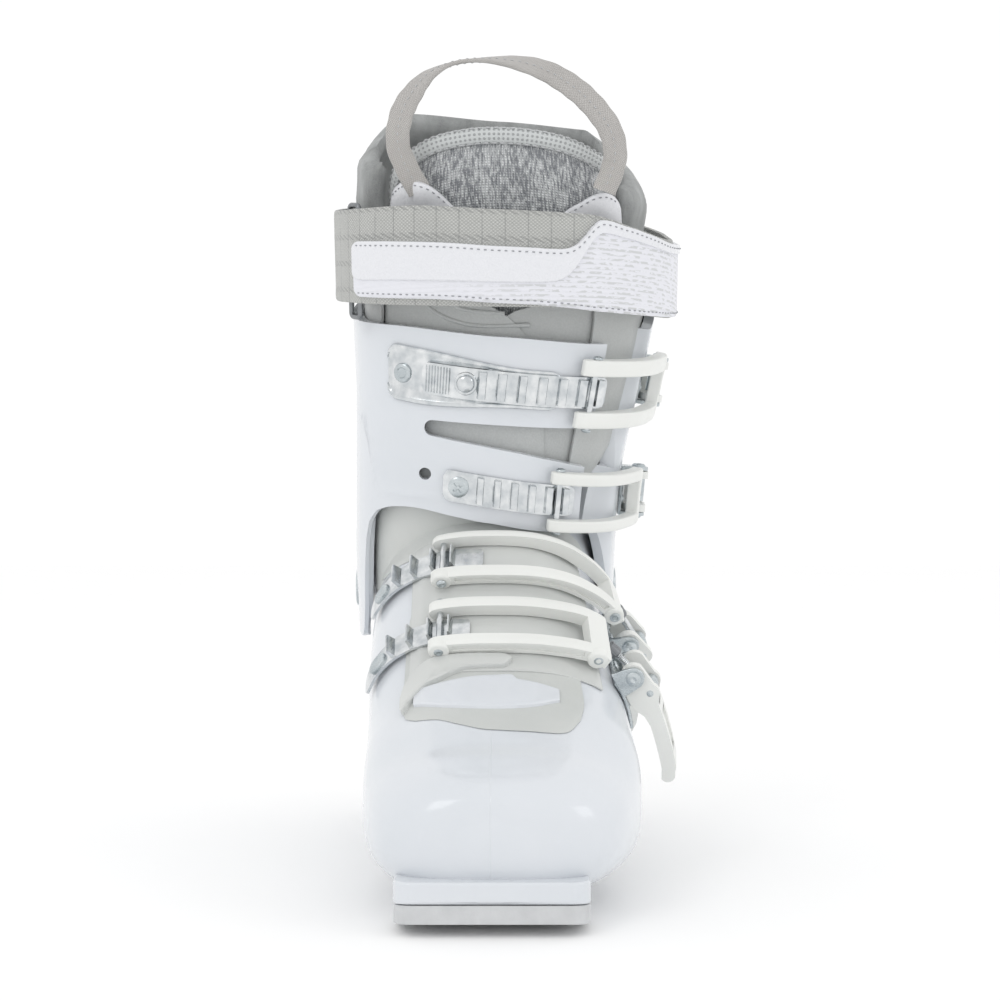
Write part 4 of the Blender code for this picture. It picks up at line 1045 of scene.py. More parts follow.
def liner():
    soft_pad("collar_pad", lambda h, a, o: cuff_at(h, a, collar_offset(h, a) + o), spread(-36.0, 210.0, 130),
             collar_low, collar_high, 8.5, "velvet", "cuff", 1.0, ["liner_cuff"])
    soft_pad("tongue_pad", tongue_surface, spread(TONGUE_MEDIAL, TONGUE_LATERAL, 80), fixed(TONGUE_LOW),
             tongue_high, 9.0,
             "knit", "cuff", 0.7, ["liner_tongue"])
    corners = [(209, 150.0), (209, 162.0), *[(a, h - 2.2) for a, h in TONGUE_EDGE], (331, 162.0),
               (331, 150.0)]
    sections = []
    for place in smooth_route([Vector((a, h, 0.0)) for a, h in corners], 220):
        a, h = place.x, place.y
        centre = tongue_surface(h, a, 0.2)
        out = (tongue_surface(h, a, 5.0) - tongue_surface(h, a, -5.0)).normalized()
        sections.append((centre, out))
    sides = []
    for k, (_, out) in enumerate(sections):
        ahead, behind = sections[min(k + 1, len(sections) - 1)][0], sections[max(k - 1, 0)][0]
        sides.append((ahead - behind).normalized().cross(out).normalized())
    rings = [[centre + wide * a * 3.4 + out * b * 1.9 for a, b in circle((0.0, 0.0), 1.0, 14)]
             for (centre, out), wide in zip(sections, sides)]
    loft_piece("tongue_piping", rings, "spacer_mesh", "cuff", sharp=80.0)
    for w, name in ((-3.9, "inner"), (3.9, "outer")):
        route = [centre + wide * w * 0.8 + out * 1.2 for (centre, out), wide in zip(sections, sides)]
        stitches(f"piping_seam_{name}", route, [out for _, out in sections], "thread", "cuff")


def liner_fronts():
    """The two soft wings of the liner's tongue that show under the strap and in the flap's slot."""
    right = [(-4, 40), (-4, 122), (4, 128.5), (9, 131.5), (18, 134.0), (34, 141), (62, 152), (62, 40)]
    laid_panel("wing_lateral", tongue_surface, spread(60.0, 156.0, 60), spread(258.0, 350.0, 62), 0.2, 5.6,
               right, CUFF_FRONT, "liner_panel", "cuff", reach=(0.0, 120.0))
    left = [(-62, 40), (-62, 150), (-26, 144), (-10, 137.5), (0.5, 132.8), (6.2, 129.2), (10, 125.6),
            (13.3, 122.0), (15.8, 117.0), (18.6, 104.0), (21.5, 80.8), (21.5, 40)]
    laid_panel("wing_medial", tongue_surface, spread(60.0, 156.0, 60), spread(190.0, 292.0, 68), 3.0, 6.6,
               left, CUFF_FRONT, "liner_panel", "cuff", reach=(0.0, 120.0))
    for name, points in (("a", [(238, 147), (246, 140), (258, 133), (270, 131)]),
                         ("b", [(238, 139), (248, 131), (262, 126), (276, 126)]),
                         ("c", [(286, 148), (293, 141), (302, 137), (309, 136)])):
        route2 = smooth_route([Vector((a, h, 0.0)) for a, h in points], 30)
        lift = 6.5 if name != "c" else 5.1
        route = [tongue_surface(p.y, p.x, lift) for p in route2]
        loft_piece(f"wing_rib_{name}", tube_sections(route, 0.9, 10), "liner_panel", "cuff", sharp=80.0)


# angle round the cuff, then the lower and upper edges of the liner's side bands
BAND_EDGES = {"medial": [(160.0, 104.0, 146.0), (180.0, 104.0, 147.0), (200.0, 104.0, 148.0),
                         (216.0, 104.0, 148.0)],
              "lateral": [(-58.0, 60.0, 142.0), (-40.0, 60.0, 142.0), (-10.0, 80.0, 142.0),
                          (20.0, 100.0, 144.0)]}


def liner_bands():
    """Smooth bands down the liner's sides that close it against the cuff."""
    for side, rows in BAND_EDGES.items():
        banded_piece(f"liner_band_{side}", behind_cuff(1.6), rows, 0.0, 1.1, "liner_panel", "cuff", bevel=0.3)


TAB_EDGES = {
    "medial": [(-44.0, 160.0, 174.0), (-43.2, 160.0, 179.0), (-42.0, 160.0, 182.0), (-39.3, 160.0, 184.2),
               (-34.9, 160.0, 185.4), (-28.4, 160.0, 184.3), (-23.4, 160.0, 181.4), (-17.1, 160.0, 175.7),
               (-12.0, 160.0, 170.0)],
    "lateral": [(25.0, 160.0, 169.0), (31.1, 160.0, 174.0), (36.1, 160.0, 176.8), (41.2, 160.0, 179.5),
                (46.5, 160.0, 180.4), (50.5, 160.0, 179.0), (52.8, 160.0, 176.5), (54.2, 160.0, 173.0),
                (54.4, 160.0, 168.0)]}


def tabs():
    """Stitched holders of the pull loop: rounded shields domed over the loop's feet."""
    for side, rows in TAB_EDGES.items():
        foot_x, foot_h = {"medial": (-31.0, 183.0), "lateral": (46.5, 177.0)}[side]

        def lift(height, x):
            return 7.2 * bump(x, foot_x, 10.0) * bump(height, foot_h, 12.0)

        def at(height, x, offset):
            return front_drop(x, height, offset + lift(height, x))[0]

        banded_piece(f"tab_{side}", at, rows, 2.2, 3.8, "white_leather", "cuff", steps=(14, 40), bevel=0.4,
                     replaces=[f"loop_tab_{side}"])
        route, normals = [], []
        for x in spread(rows[0][0] + 1.6, rows[-1][0] - 1.6, 60):
            height = table_at(rows, x)[1] - 2.0
            _, normal = front_drop(x, height, 0.0)
            route.append(at(height, x, 3.8))
            normals.append(normal)
        stitches(f"tab_seam_{side}", route, normals, "grey_thread", "cuff", length=1.6, gap=1.3, radius=0.28)


def front_drop(x, height, offset):
    """The tongue's point at this x and height, found by stepping round it."""
    low, high = TONGUE_MEDIAL, TONGUE_LATERAL
    for _ in range(22):
        middle = (low + high) / 2.0
        if tongue_surface(height, middle, offset).x < x:
            low = middle
        else:
            high = middle
    angle = (low + high) / 2.0
    point = tongue_surface(height, angle, offset)
    return point, (tongue_surface(height, angle, offset + 2.0) - point).normalized()


# ---------------------------------------------------------------- loop and strap

def pull_loop():
    y = LOOP_AXIS_Y
    route = [(-30.5, y + 8.0, LOOP_AXIS_Z - 7.0), (-38.6, y + 2.0, 297.0), (-38.0, y + 0.5, 309.7),
             (-33.2, y + 1.5, 320.0), (-25.6, y + 2.5, 328.5), (-13.6, y + 3.5, 333.6),
             (3.0, y + 4.0, 334.2), (18.5, y + 4.0, 331.2), (30.6, y + 3.5, 324.8), (40.5, y + 2.5, 316.0),
             (48.2, y + 1.0, 304.5), (49.8, y, 292.5), (45.5, y + 2.0, LOOP_AXIS_Z - 8.0)]
    half_width, half_thick, most_twist = 4.9, 0.75, 76.0
    rings, face, normals = [], [], []
    for share in spread(0.0, 1.0, 150):
        position = (len(route) - 1) * share
        ahead, behind = (Vector(blend_rows(route, position + d)) for d in (0.05, -0.05))
        along = (ahead - behind).normalized()
        front = Vector((0.0, -1.0, 0.0))
        front = (front - along * front.dot(along)).normalized()
        twist = math.radians(most_twist) * bump(share, 0.42, 0.16)
        wide = along.cross(front) * math.cos(twist) + front * math.sin(twist)
        thick = along.cross(wide)
        here = Vector(blend_rows(route, position))
        ripple = 0.12 * math.sin(share * 130.0)
        section = [(-1.0, -0.5), (-0.93, -1.0), (-0.5, -1.12), (0.0, -1.0), (0.5, -1.12), (0.93, -1.0),
                   (1.0, -0.5), (1.0, 0.5), (0.93, 1.0), (0.5, 1.12), (0.0, 1.0), (-0.5, 1.12),
                   (-0.93, 1.0), (-1.0, 0.5)]
        rings.append([here + wide * (a * half_width + ripple) + thick * b * half_thick for a, b in section])
        for sign, store in ((1.0, face), (-1.0, normals)):
            store.append((here + thick * sign * half_thick * 1.05, thick * sign))
    loop = loft_piece("carry_loop", rings, "loop_webbing", "pull_loop", sharp=60.0, replaces=["pull_loop"])
    for name, side in (("a", face), ("b", normals)):
        stitches(f"loop_seam_{name}", [p for p, _ in side], [n for _, n in side], "thread", "pull_loop",
                 length=1.6, gap=1.5, radius=0.24)
    return loop


def around(angle):
    """The angle as the strap's table counts it."""
    return angle + 360.0 if angle < STRAP_SEAM else angle


def strap_laid(share, angle, offset):
    """A point on the strap: share goes from its lower to its upper edge."""
    low, high = table_at(STRAP_EDGES, around(angle))
    return strap_at(low + (high - low) * share, angle, offset)


def power_strap():
    angles = spread(0.0, 360.0, 240)[:-1]
    shares = [0.0, 0.02, *spread(0.06, 0.94, 12), 0.98, 1.0]

    def outside(share, angle):
        """Webbing pulls in a little where it is not backed; its edges are thinner."""
        inner = ease(min(share, 1.0 - share), 0.0, 0.15)
        wave = 0.5 * noise.noise(Vector((share * 1.1, math.cos(math.radians(angle)) * 3.0,
                                         math.sin(math.radians(angle)) * 3.0)))
        return 0.15 + wave * inner - 0.45 * (1.0 - ease(min(share, 1.0 - share), 0.0, 0.04))

    sheet_piece("strap_web", strap_laid, shares, angles, outside, fixed(-2.4), "webbing", "cuff", wrap=True,
                replaces=["power_strap"], bevel=0.4)


def pad_laid(lower, upper):
    """Points between two of the pad's edges, drawn in at its rounded left end."""
    def place(share, angle, offset):
        edges = table_at(PAD_EDGES, angle)
        low, high = edges[lower], edges[upper]
        near = max(0.0, min(1.0, (angle - PAD_EDGES[0][0]) / 3.6))
        drawn = 2.6 * (1.0 - math.sqrt(1.0 - (1.0 - near) ** 2))
        middle = low + (high - low) * share
        return strap_at(middle + drawn * (1.0 - 2.0 * share), angle, offset)
    return place


def strap_pad():
    """The stiffened pad on the strap's front: a woven base, a glossy upper part and stitched edges."""
    first, last = PAD_EDGES[0][0], PAD_EDGES[-1][0]
    angles = [first, first + 0.4, first + 1.2, first + 2.4, *spread(first + 3.6, last, 170)]
    shares = [0.0, 0.012, 0.04, *spread(0.09, 0.91, 14), 0.96, 0.988, 1.0]

    sheet_piece("pad_weave", pad_laid(0, 1), shares, angles, crowned(1.6, 2.3, 0.04), fixed(0.4),
                "printed_weave", "cuff",
                replaces=["strap_pad"], bevel=0.3)
    sheet_piece("pad_gloss", pad_laid(2, 1), shares, angles, crowned(2.5, 3.1, 0.04), fixed(1.9),
                "white_leather", "cuff",
                bevel=0.25)
    for name, edge, inwards, level in (("lower", 0, 1.7, 2.35), ("upper", 1, -1.7, 3.1)):
        route, normals = [], []
        for angle in spread(first + 2.5, last - 2.0, 260):
            height = table_at(PAD_EDGES, angle)[edge] + inwards
            foot = strap_at(height, angle, level)
            route.append(foot)
            normals.append((strap_at(height, angle, level + 2.0) - foot).normalized())
        stitches(f"pad_seam_{name}", route, normals, "grey_thread", "cuff", length=1.5, gap=1.3, radius=0.26)


def strap_hardware():
    """The wire ring that the strap's inner end folds round."""
    angle, middle, half = 211.0, 151.5, 21.5
    centre = strap_at(middle, angle, -3.6)
    along = (strap_at(middle, angle + 3.0, -3.6) - centre).normalized()
    ring = frame_from(centre, along, UP, along.cross(UP).normalized())
    outline = [*arc((2.2, half), 1.9, 0.0, 90.0, 6), *arc((-2.2, half), 1.9, 90.0, 180.0, 6),
               *arc((-2.2, -half), 1.9, 180.0, 270.0, 6), *arc((2.2, -half), 1.9, 270.0, 360.0, 6)]
    route = [ring @ Vector((a, b, 0.0)) for a, b in outline]
    loft_piece("strap_wire", tube_sections(route, 1.15, 14, closed=True), "dark_steel", "cuff", closed=True,
               sharp=80.0, replaces=["strap_ring"])


# ---------------------------------------------------------------- buckles

# link pin in the hinge's frame (towards the ladder, out of the boot); handle length and its sag
LINKS = {"toe": (-9.2, 2.8), "instep": (-7.8, 5.6), "mid": (-9.5, 1.2), "upper": (-9.5, 1.2)}
LEVERS = {"toe": (48.0, 0.0036), "instep": (50.0, 0.0030), "mid": (52.0, 0.0045), "upper": (54.0, 0.0045)}
CHEEK_IN, CHEEK_OUT = 6.0, 9.2
EAR_IN, EAR_OUT = 9.5, 11.3
BAIL_START, CROSS_LENGTH = 13.5, 7.0
# half widths of a bail: inside of its arms, then outside, narrower where two bails are close
ARM_IN = 7.6
ARM_OUT = {"toe": 13.4, "instep": 12.0, "mid": 12.8, "upper": 14.4}
HOOK_OFFSETS = {"toe": 5.2, "instep": 5.2, "mid": 3.7, "upper": 4.8}
NUT_GAP = 1.7
HOLDER = {"toe": "shell", "instep": "shell", "mid": "cuff", "upper": "cuff"}


def path_sheet(name, key, lengths, widths, outside, inside, material, body, present=None, **more):
    path = PATHS[key]
    return sheet_piece(name, path.place, lengths, widths, outside, inside, material, body, present=present,
                       **more)


def bracket(key):
    """Pressed base plate with two ears and its fixing rivets."""
    body, matrix = HOLDER[key], hinge_frame(key)
    base = path_sheet(f"bracket_plate_{key}", key, spread(-14.0, 5.0, 24), spread(-EAR_OUT, EAR_OUT, 24),
                      fixed(1.8), fixed(0.3), "zinc", body, replaces=[f"bracket_{key}"])
    ear = [(-5.5, -7.4), (5.5, -7.4), (4.9, -2.0), *arc((0.0, 0.0), 4.4, 10.0, 170.0, 20), (-4.9, -2.0)]
    for name, low, high in (("low", -EAR_OUT, -EAR_IN), ("high", EAR_IN, EAR_OUT)):
        piece = prism_piece(f"bracket_ear_{name}_{key}", ear, low, high, matrix, "zinc", body)
        cut(piece, prism_piece("ear_hole", circle((0.0, 0.0), 2.3, 28), -20.0, 20.0, matrix, "zinc", None))
        add_bevel(piece, 0.35, 3)
    add_bevel(base, 0.5, 3)
    path = PATHS[key]
    for s, w in ((-10.5, 0.0), (1.5, -4.2), (1.5, 4.2)):
        foot = path.place(s, w, 1.6)
        turned_piece(f"bracket_rivet_{key}_{int(s * 10)}_{int(w)}".replace("-", "m"),
                     [(-0.4, 2.1), (0.5, 2.1), (1.0, 1.6), (1.2, 0.8), (1.25, 0.05)],
                     frame_along(foot, path.place(s, w, 6.0) - foot), "zinc", body, 28)


def lever(key):
    """Handle: a bowed bar with a finger lip and two cheeks round the hinge."""
    body, matrix = f"lever_{key}", hinge_frame(key)
    length, sag = LEVERS[key]

    def line(level, start, end, steps):
        return [(t, level - sag * t * t) for t in spread(start, end, steps)]

    tip = (-length + 3.2, 1.5 - sag * length * length)
    outline = [*line(4.6, -length + 5.0, -15.0, 28), *arc(LINKS[key], 4.0, 140.0, 50.0, 14),
               *arc((0.0, 0.0), 5.2, 60.0, -75.0, 24),
               (-4.0, -6.2), (-7.5, -6.45), (-11.0, -6.4), (-13.5, -5.6), (-17.5, -3.6),
               *line(-1.6, -22.0, -length + 5.0, 24), *arc(tip, 3.1, 262.0, 98.0, 14)]
    handle = prism_piece(f"lever_body_{key}", outline, -CHEEK_OUT, CHEEK_OUT, matrix, "bail_plastic", body,
                         replaces=[f"lever_{key}"])
    gap = [(-16.5, -20.0), (12.0, -20.0), (12.0, 20.0), (-16.5, 20.0)]
    cut(handle, prism_piece("gap", gap, -CHEEK_IN, CHEEK_IN, matrix, "bail_plastic", None))
    for sign in (-1.0, 1.0):
        taper = [(-length - 4.0, 20.0), (-length - 4.0, -20.0), (-24.0, -20.0), (-24.0, 20.0)]
        wedge = [[matrix @ Vector((a, b, sign * (CHEEK_OUT - 1.9 if a < -30.0 else CHEEK_OUT + 0.6)))
                  for a, b in taper],
                 [matrix @ Vector((a, b, sign * 16.0)) for a, b in taper]]
        cut(handle, loft_piece("taper", wedge, "bail_plastic", None))
    channel = [(t, 4.4 - sag * t * t - 0.9) for t in spread(-length + 11.0, -20.0, 14)]
    channel += [(t, 8.0 - sag * t * t) for t in spread(-20.0, -length + 11.0, 14)]
    cut(handle, prism_piece("channel", channel, -4.2, 4.2, matrix, "bail_plastic", None))
    add_bevel(handle, 0.85, 4, 38.0)
    for name, sign in (("low", -1.0), ("high", 1.0)):
        turned = Matrix.Rotation(0.0 if sign > 0 else math.pi, 4, "X")
        face = matrix @ Matrix.Translation((0.0, 0.0, sign * EAR_OUT)) @ turned
        turned_piece(f"hinge_head_{name}_{key}", [(-2.4, 1.9), (0.0, 1.9), (0.0, 3.1), (0.7, 3.0),
                                                  (1.2, 2.3), (1.25, 1.2), (0.9, 0.8),
                                                  (0.85, 0.05)], face, "zinc", body, 32)
    pin = matrix @ Matrix.Translation((*LINKS[key], -9.6))
    turned_piece(f"link_bar_{key}", [(0.0, 0.6), (0.3, 1.3), (0.6, 1.6), (18.6, 1.6), (18.9, 1.3),
                                     (19.2, 0.6)],
                 pin, "zinc", body, 28, replaces=[f"link_pin_{key}"])


def bail_offsets(key, s):
    down = ease(s, BAIL_START, BAIL_START + 22.0)
    return 4.2 - 1.9 * down, 10.0 - 1.6 * down


def bail(key):
    """Open plastic frame: a cross piece at the lever and two arms that carry the hook pin."""
    body, path = f"bail_{key}", PATHS[key]
    hook = path.distance(HOOK_ANGLES[key])
    end = hook + (6.0 if key == "upper" else 4.0)
    lengths = [*spread(BAIL_START, BAIL_START + CROSS_LENGTH, 8),
               *spread(BAIL_START + CROSS_LENGTH, end, 44)[1:]]
    arm_out = ARM_OUT[key]
    arm = spread(ARM_IN, arm_out, 5)
    widths = [-w for w in reversed(arm)] + spread(-ARM_IN, ARM_IN, 12)[1:-1] + arm

    def crown(w):
        """Arms are rounded across; the cross piece is flat."""
        near = (abs(w) - (ARM_IN + arm_out) / 2.0) / ((arm_out - ARM_IN) / 2.0)
        return 0.55 * max(0.0, near) ** 2

    def tail(s):
        """The arms thin out round the hook pin."""
        return 1.5 * (1.0 - math.sqrt(max(0.0, 1.0 - max(0.0, (s - end + 4.0) / 4.0) ** 2)))

    def outside(s, w):
        bow = 0.8 * math.sin(math.pi * min(1.0, max(0.0, (s - BAIL_START) / (end - BAIL_START))))
        return bail_offsets(key, s)[1] - crown(w) - tail(s) + bow * 0.5 - 0.25

    def inside(s, w):
        return bail_offsets(key, s)[0] + tail(s) * 0.8

    frame_piece = path_sheet(f"bail_frame_{key}", key, lengths, widths, outside, inside, "bail_plastic", body,
                             present=lambda i, j: i < 8 or not 5 <= j < 17, replaces=[f"bail_{key}"])
    if key in ("toe", "instep"):
        for sign in (-1.0, 1.0):
            rows = []
            for s in spread(BAIL_START + 9.0, end - 9.0, 24):
                low = bail_offsets(key, s)[0]
                rows.append([path.place(s, sign * w, low + o) for w, o in
                             ((arm_out - 0.9, 1.6), (arm_out + 2.0, 1.4), (arm_out + 2.0, 4.4),
                              (arm_out - 0.9, 4.2))])
            cut(frame_piece, loft_piece("side_groove", rows, "bail_plastic", None))
    add_bevel(frame_piece, 0.8, 3, 42.0)
    if key in ("toe", "instep"):
        for s, radius in ((hook, 4.3), (BAIL_START + 4.0, 4.2)):
            level = sum(bail_offsets(key, s)) / 2.0 - 0.3
            foot = path.place(s, -arm_out + 2.5, level)
            turned_piece(f"bail_boss_{int(s)}_{key}", [(0.0, radius), (2.5, radius), (3.1, radius - 0.25),
                                                      (3.4, radius - 0.8), (3.45, 0.05)],
                         frame_along(foot, path.place(s, -arm_out, level) - foot), "bail_plastic", body, 40)
    ends = [path.place(hook, w, HOOK_OFFSETS[key]) for w in (-arm_out - 0.9, arm_out + 0.4)]
    across = (ends[1] - ends[0]).normalized()
    rod_piece(f"hook_bar_{key}", ends[0], ends[1], 1.3, "chrome", body, replaces=[f"hook_pin_{key}"])
    for name, place, way in (("low", ends[0], -across), ("high", ends[1], across)):
        turned_piece(f"hook_head_{name}_{key}", [(-0.3, 2.1), (0.25, 2.1), (0.7, 1.8), (1.0, 1.1),
                                                 (0.7, 0.7), (0.65, 0.05)],
                     frame_along(place, way), "zinc", body, 32)
    if key in ("toe", "instep"):
        for name, w, sign in (("low", -arm_out - 0.8, -1.0), ("high", arm_out, 1.0)):
            s = BAIL_START + 4.0
            level = sum(bail_offsets(key, s)) / 2.0
            foot = path.place(s, w - sign * 0.3, level)
            turned_piece(f"nut_screw_{name}_{key}", [(-0.3, 2.3), (0.5, 2.3), (0.9, 1.9), (1.0, 1.2),
                                                     (0.6, 0.9), (0.6, 0.05)],
                         frame_along(foot, path.place(s, w + sign * 4.0, level) - foot), "zinc", body, 32)
    adjuster(key)


def adjuster(key):
    """Eye on the link, threaded rod and knurled nut."""
    body, path, matrix = f"bail_{key}", PATHS[key], hinge_frame(key)
    inside, outside = bail_offsets(key, BAIL_START)
    link = matrix @ Vector((*LINKS[key], 0.0))
    end = path.place(BAIL_START, 0.0, (inside + outside) / 2.0)
    reach = (end - link).length
    along = frame_along(link, end - link)
    eye = prism_piece(f"adjuster_eye_{key}", circle(LINKS[key], 3.2, 40), -5.5, 5.5, matrix, "zinc", body,
                      replaces=[f"adjuster_{key}"])
    cut(eye, prism_piece("eye_hole", circle(LINKS[key], 2.15, 28), -20.0, 20.0, matrix, "zinc", None))
    add_bevel(eye, 0.4, 3)
    thread = [(2.6, 1.2)]
    height = 2.8
    while height < reach - 5.6:
        thread += [(height, 1.22), (height + 0.3, 1.5), (height + 0.42, 1.5)]
        height += 0.72
    turned_piece(f"adjuster_thread_{key}", [*thread, (reach + 1.2, 1.4)], along, "chrome", body, 24)
    sections = []
    for h, r in ((reach - 7.0, 2.2), (reach - 6.5, 2.7), (reach - NUT_GAP - 0.5, 2.7),
                 (reach - NUT_GAP, 2.2)):
        rim = [(r + 0.14 * (k % 2), math.tau * k / 36) for k in range(36)]
        sections.append([along @ Vector((size * math.cos(turn), size * math.sin(turn), h)) for size,
                         turn in rim])
    loft_piece(f"adjuster_nut_{key}", sections, "dark_steel", body, bevel=0.12)


# ---------------------------------------------------------------- ladders

def strip_half(s, start, end, half, radius):
    """Half width with rounded ends."""
    near = max(0.0, min(1.0, min(s - start, end - s) / radius))
    return half - radius + radius * math.sqrt(max(0.0, 1.0 - (1.0 - near) ** 2))


def ladder(key, name, start, end, half, teeth, foot, base, top, lean, replaces, wide=0.0):
    """A stamped toothed strip with side flanges and rounded ends."""
    path, body = PATHS[key], HOLDER[key]
    profile = [(start, base), (start + 0.3, base), (start + 0.8, base)]
    for place in teeth:
        if place - 1.3 - wide < start:
            continue
        low, far = place - wide, place + wide
        profile += [(low - 1.25, base), (low - 0.75, base + 0.25), (low - 0.5 - lean, top - 0.35),
                    (low - 0.25 - lean, top), (far + 0.3 - lean, top), (far + 0.55 - lean * 0.5, top - 0.4),
                    (far + 0.85, base + 0.3), (far + 1.3, base)]
    last = profile[-1][0]
    profile += [(s, base) for s in spread(last, end, max(4, int((end - last) / 1.2)))[1:]]
    profile += [(end, base)]
    rows_out, rows_in = [], []
    for s, level in profile:
        width = strip_half(s, start, end, half, 3.0)
        tooth = level > base + 0.1
        shares = (-1.0, -0.9, -0.8, -0.4, 0.0, 0.4, 0.8, 0.9, 1.0)
        levels = [base, base] + [level] * 5 + [base, base] if tooth else [base] * 9
        if tooth:
            shares = (-1.0, -0.86, -0.84, -0.4, 0.0, 0.4, 0.84, 0.86, 1.0)
        rows_out.append([path.place(s, width * share, o) for share, o in zip(shares, levels)])
        rows_in.append([path.place(s, width * share, foot) for share in shares])
    rows, columns = len(profile), 9
    points = [p for row in rows_out for p in row] + [p for row in rows_in for p in row]
    uvs = [(s, 0.0) for s, _ in profile for _ in range(columns)] * 2
    strip = add_piece(name, points, grid_faces(rows, columns, False, None), "chrome", body, uvs=uvs,
                      replaces=replaces, sharp=30.0)
    add_bevel(strip, 0.16, 2, 40.0)
    return strip


def teeth_around(hook, pitch, before, after):
    return [hook + pitch * (k + 0.5) for k in range(-before, after)]


def stud(key, name, s, level, profile, material, nodes, stretch=(1.0, 1.0)):
    """A rivet head on a ladder."""
    path = PATHS[key]
    foot = path.place(s, 0.0, level)
    out = (path.place(s, 0.0, level + 5.0) - foot).normalized()
    along = (path.place(s + 1.0, 0.0, level) - path.place(s - 1.0, 0.0, level)).normalized()
    matrix = frame_from(foot, along, out.cross(along), out) @ Matrix.Diagonal((*stretch, 1.0, 1.0))
    return turned_piece(name, profile, matrix, material, HOLDER[key], 48, replaces=nodes)


def ladders():
    flat = [(-1.0, 3.9), (0.4, 4.1), (0.9, 4.0), (1.2, 3.6), (1.3, 3.0), (1.15, 2.6), (1.1, 0.05)]
    for key, near, far in (("toe", 95.0, 160.0), ("instep", 92.0, 155.0)):
        path = PATHS[key]
        hook, start, end = (path.distance(a) for a in (HOOK_ANGLES[key], near, far))
        ladder(key, f"ladder_strip_{key}", start, end, 5.6, teeth_around(hook, 7.8, 1, 3), 2.0, 3.2, 7.6,
               -0.5, [f"ladder_{key}"])
        stud(key, f"ladder_stud_{key}", end - 11.0, 3.1, flat, "zinc", [f"ladder_rivet_{key}"], (1.25, 0.92))
    path = PATHS["mid"]
    hook = path.distance(HOOK_ANGLES["mid"])
    ladder("mid", "ladder_strip_mid", hook - 8.5, hook + 47.5, 6.6, teeth_around(hook, 7.1, 1, 5), 0.4, 1.8,
           4.3,
           0.3, ["ladder_mid"], 0.7)
    foot = path.place(hook + 41.0, 0.0, 1.7)
    screw_piece("ladder_screw_head", frame_along(foot, path.place(hook + 41.0, 0.0, 6.0) - foot), 4.4, 1.3,
                "cuff",
                ["ladder_screw_mid"])
    path = PATHS["upper"]
    hook = path.distance(HOOK_ANGLES["upper"])
    start, end = hook + 12.0, hook + 87.0
    lengths = [start, *spread(start + 0.4, start + 4.0, 6), *spread(start + 5.0, end - 6.0, 50),
               *spread(end - 5.0, end - 0.4, 8), end]
    shares = (-1.0, -0.97, -0.9, -0.82, -0.76, -0.4, 0.0, 0.4, 0.76, 0.82, 0.9, 0.97, 1.0)
    rim = (0.9, 1.5, 1.7, 1.5, 1.0, 0.9, 0.9, 0.9, 1.0, 1.5, 1.7, 1.5, 0.9)

    def half(s):
        full = 8.2 + 3.6 * ease(s, hook + 25.0, hook + 75.0)
        return strip_half(s, start, end, full, 5.0)

    def tray_point(s, share, offset):
        return path.place(s, share * half(s), offset)

    sheet_piece("ladder_tray", tray_point, lengths, list(shares),
                lambda s, share: rim[shares.index(share)], fixed(0.4), "chrome", "cuff",
                replaces=["ladder_tray_upper"])
    ladder("upper", "ladder_strip_upper", hook - 8.0, hook + 70.0, 6.6, teeth_around(hook, 8.2, 1, 6), 1.2,
           2.6,
           4.9, 0.3, ["ladder_upper"], 1.0)
    for k in range(9):
        s = hook + 58.5 + k * 1.2
        sections = [[path.place(s + ds, w, o) for ds,
                     o in ((-0.35, 2.5), (0.0, 3.0), (0.35, 2.5), (0.0, 2.2))]
                    for w in spread(-5.6, 5.6, 6)]
        loft_piece(f"ladder_ridge_{k}", sections, "chrome", "cuff", sharp=60.0)
    domed = [(-1.0, 4.2), (0.3, 4.2), (0.8, 3.9), (1.1, 3.2), (1.2, 2.4), (0.8, 2.0), (0.75, 0.05)]
    stud("upper", "tray_rivet", hook + 79.5, 1.0, domed, "zinc", ["ladder_rivet_upper"])
    button = [(-1.0, 4.9), (0.4, 4.9), (0.7, 4.6), (0.6, 4.1), (0.6, 3.9), (1.5, 3.7), (2.2, 3.0), (2.7, 1.9),
              (2.9, 0.9), (2.95, 0.05)]
    stud("upper", "ladder_button", hook + 51.8, 2.6, button, "chrome", ["ladder_button_upper"])


# ---------------------------------------------------------------- the whole boot and its stage

FLOOR_HALF = 6.0
WORLD_STRENGTH = 1.02
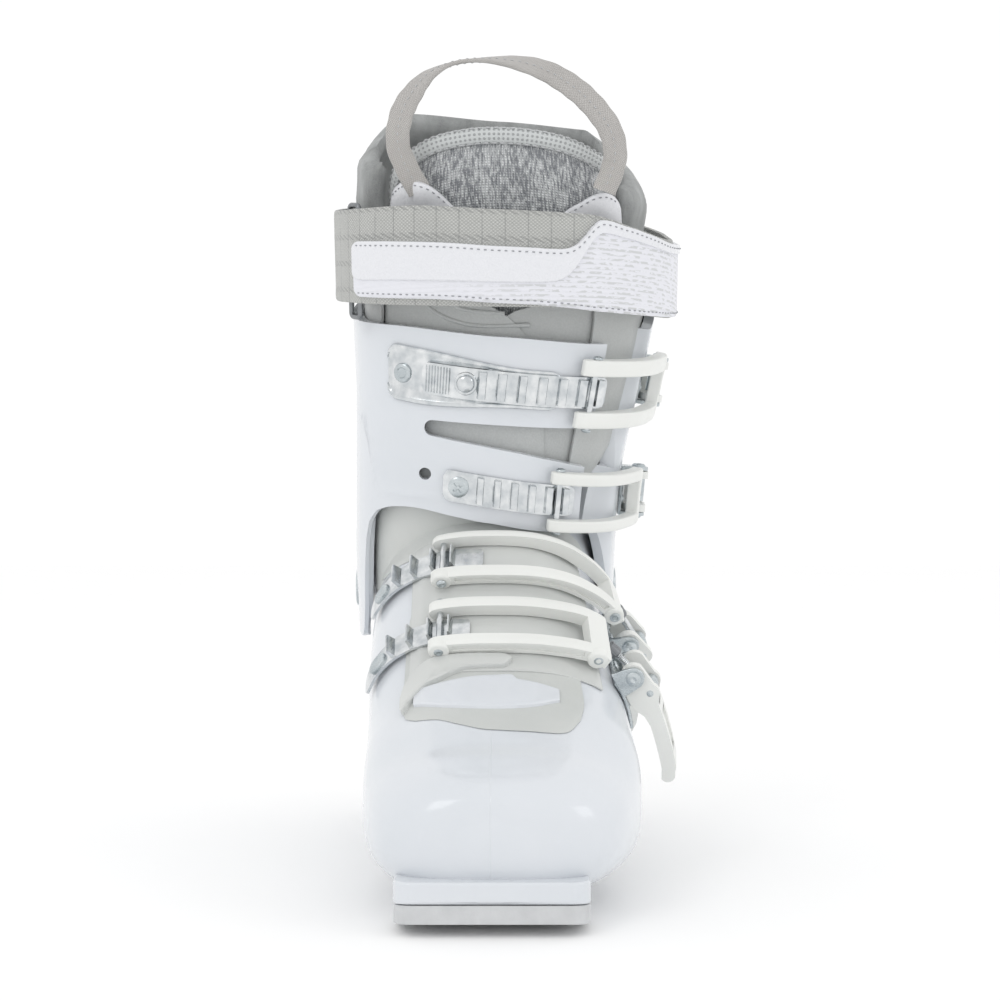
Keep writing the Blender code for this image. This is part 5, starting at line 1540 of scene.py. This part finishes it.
# name, place in metres, size and power; both lamps look at the boot's middle
LAMPS = (("key", (-0.9, -1.3, 1.5), 0.7, 3.0), ("side", (1.3, -0.7, 0.9), 0.5, 1.2))
LAMP_AIM = Vector((0.0, -0.1, 0.15))
CAMERA_PLACE, CAMERA_LENS, CAMERA_SENSOR, CAMERA_SHIFT = (0.0028, -0.860, 0.141), 62.6, 36.0, 0.03


def stage():
    """A pale floor, an even white surround, two lamps and the photo's camera."""
    floor = bpy.data.objects.new("floor", bpy.data.meshes.new("floor"))
    corners = [(x * FLOOR_HALF, y * FLOOR_HALF, 0.0) for x, y in ((-1, -1), (1, -1), (1, 1), (-1, 1))]
    floor.data.from_pydata(corners, [], [(0, 1, 2, 3)])
    floor.data.materials.append(floor_paint())
    bpy.context.collection.objects.link(floor)
    world = bpy.data.worlds.new("studio")
    world.use_nodes = True
    background = world.node_tree.nodes["Background"]
    background.inputs["Color"].default_value = (1.0, 1.0, 1.0, 1.0)
    background.inputs["Strength"].default_value = WORLD_STRENGTH
    bpy.context.scene.world = world
    for name, place, size, power in LAMPS:
        light = bpy.data.lights.new(name, "AREA")
        light.energy, light.size = power, size
        lamp = bpy.data.objects.new(name, light)
        lamp.location = place
        lamp.rotation_euler = (LAMP_AIM - Vector(place)).to_track_quat("-Z", "Y").to_euler()
        bpy.context.collection.objects.link(lamp)
    camera = bpy.data.objects.new("camera", bpy.data.cameras.new("camera"))
    camera.data.lens, camera.data.sensor_width = CAMERA_LENS, CAMERA_SENSOR
    camera.data.shift_y = CAMERA_SHIFT
    camera.location = CAMERA_PLACE
    camera.rotation_euler = (math.pi / 2.0, 0.0, 0.0)
    bpy.context.collection.objects.link(camera)
    bpy.context.scene.camera = camera
    bpy.context.scene.view_settings.view_transform = "Standard"


shell_moulding()
soles()
throat_parts()
cuff_moulding()
cuff_fittings()
liner()
liner_fronts()
liner_bands()
tabs()
pull_loop()
power_strap()
strap_pad()
strap_hardware()
for buckle in PATHS:
    bracket(buckle)
    lever(buckle)
    bail(buckle)
ladders()
for hidden, look in (("boot_board", "board_plastic"), ("footbed", "liner_foam"),
                     ("liner_foot", "liner_foam")):
    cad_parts[hidden].data.materials.clear()
    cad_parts[hidden].data.materials.append(MATERIALS[look])
stage()
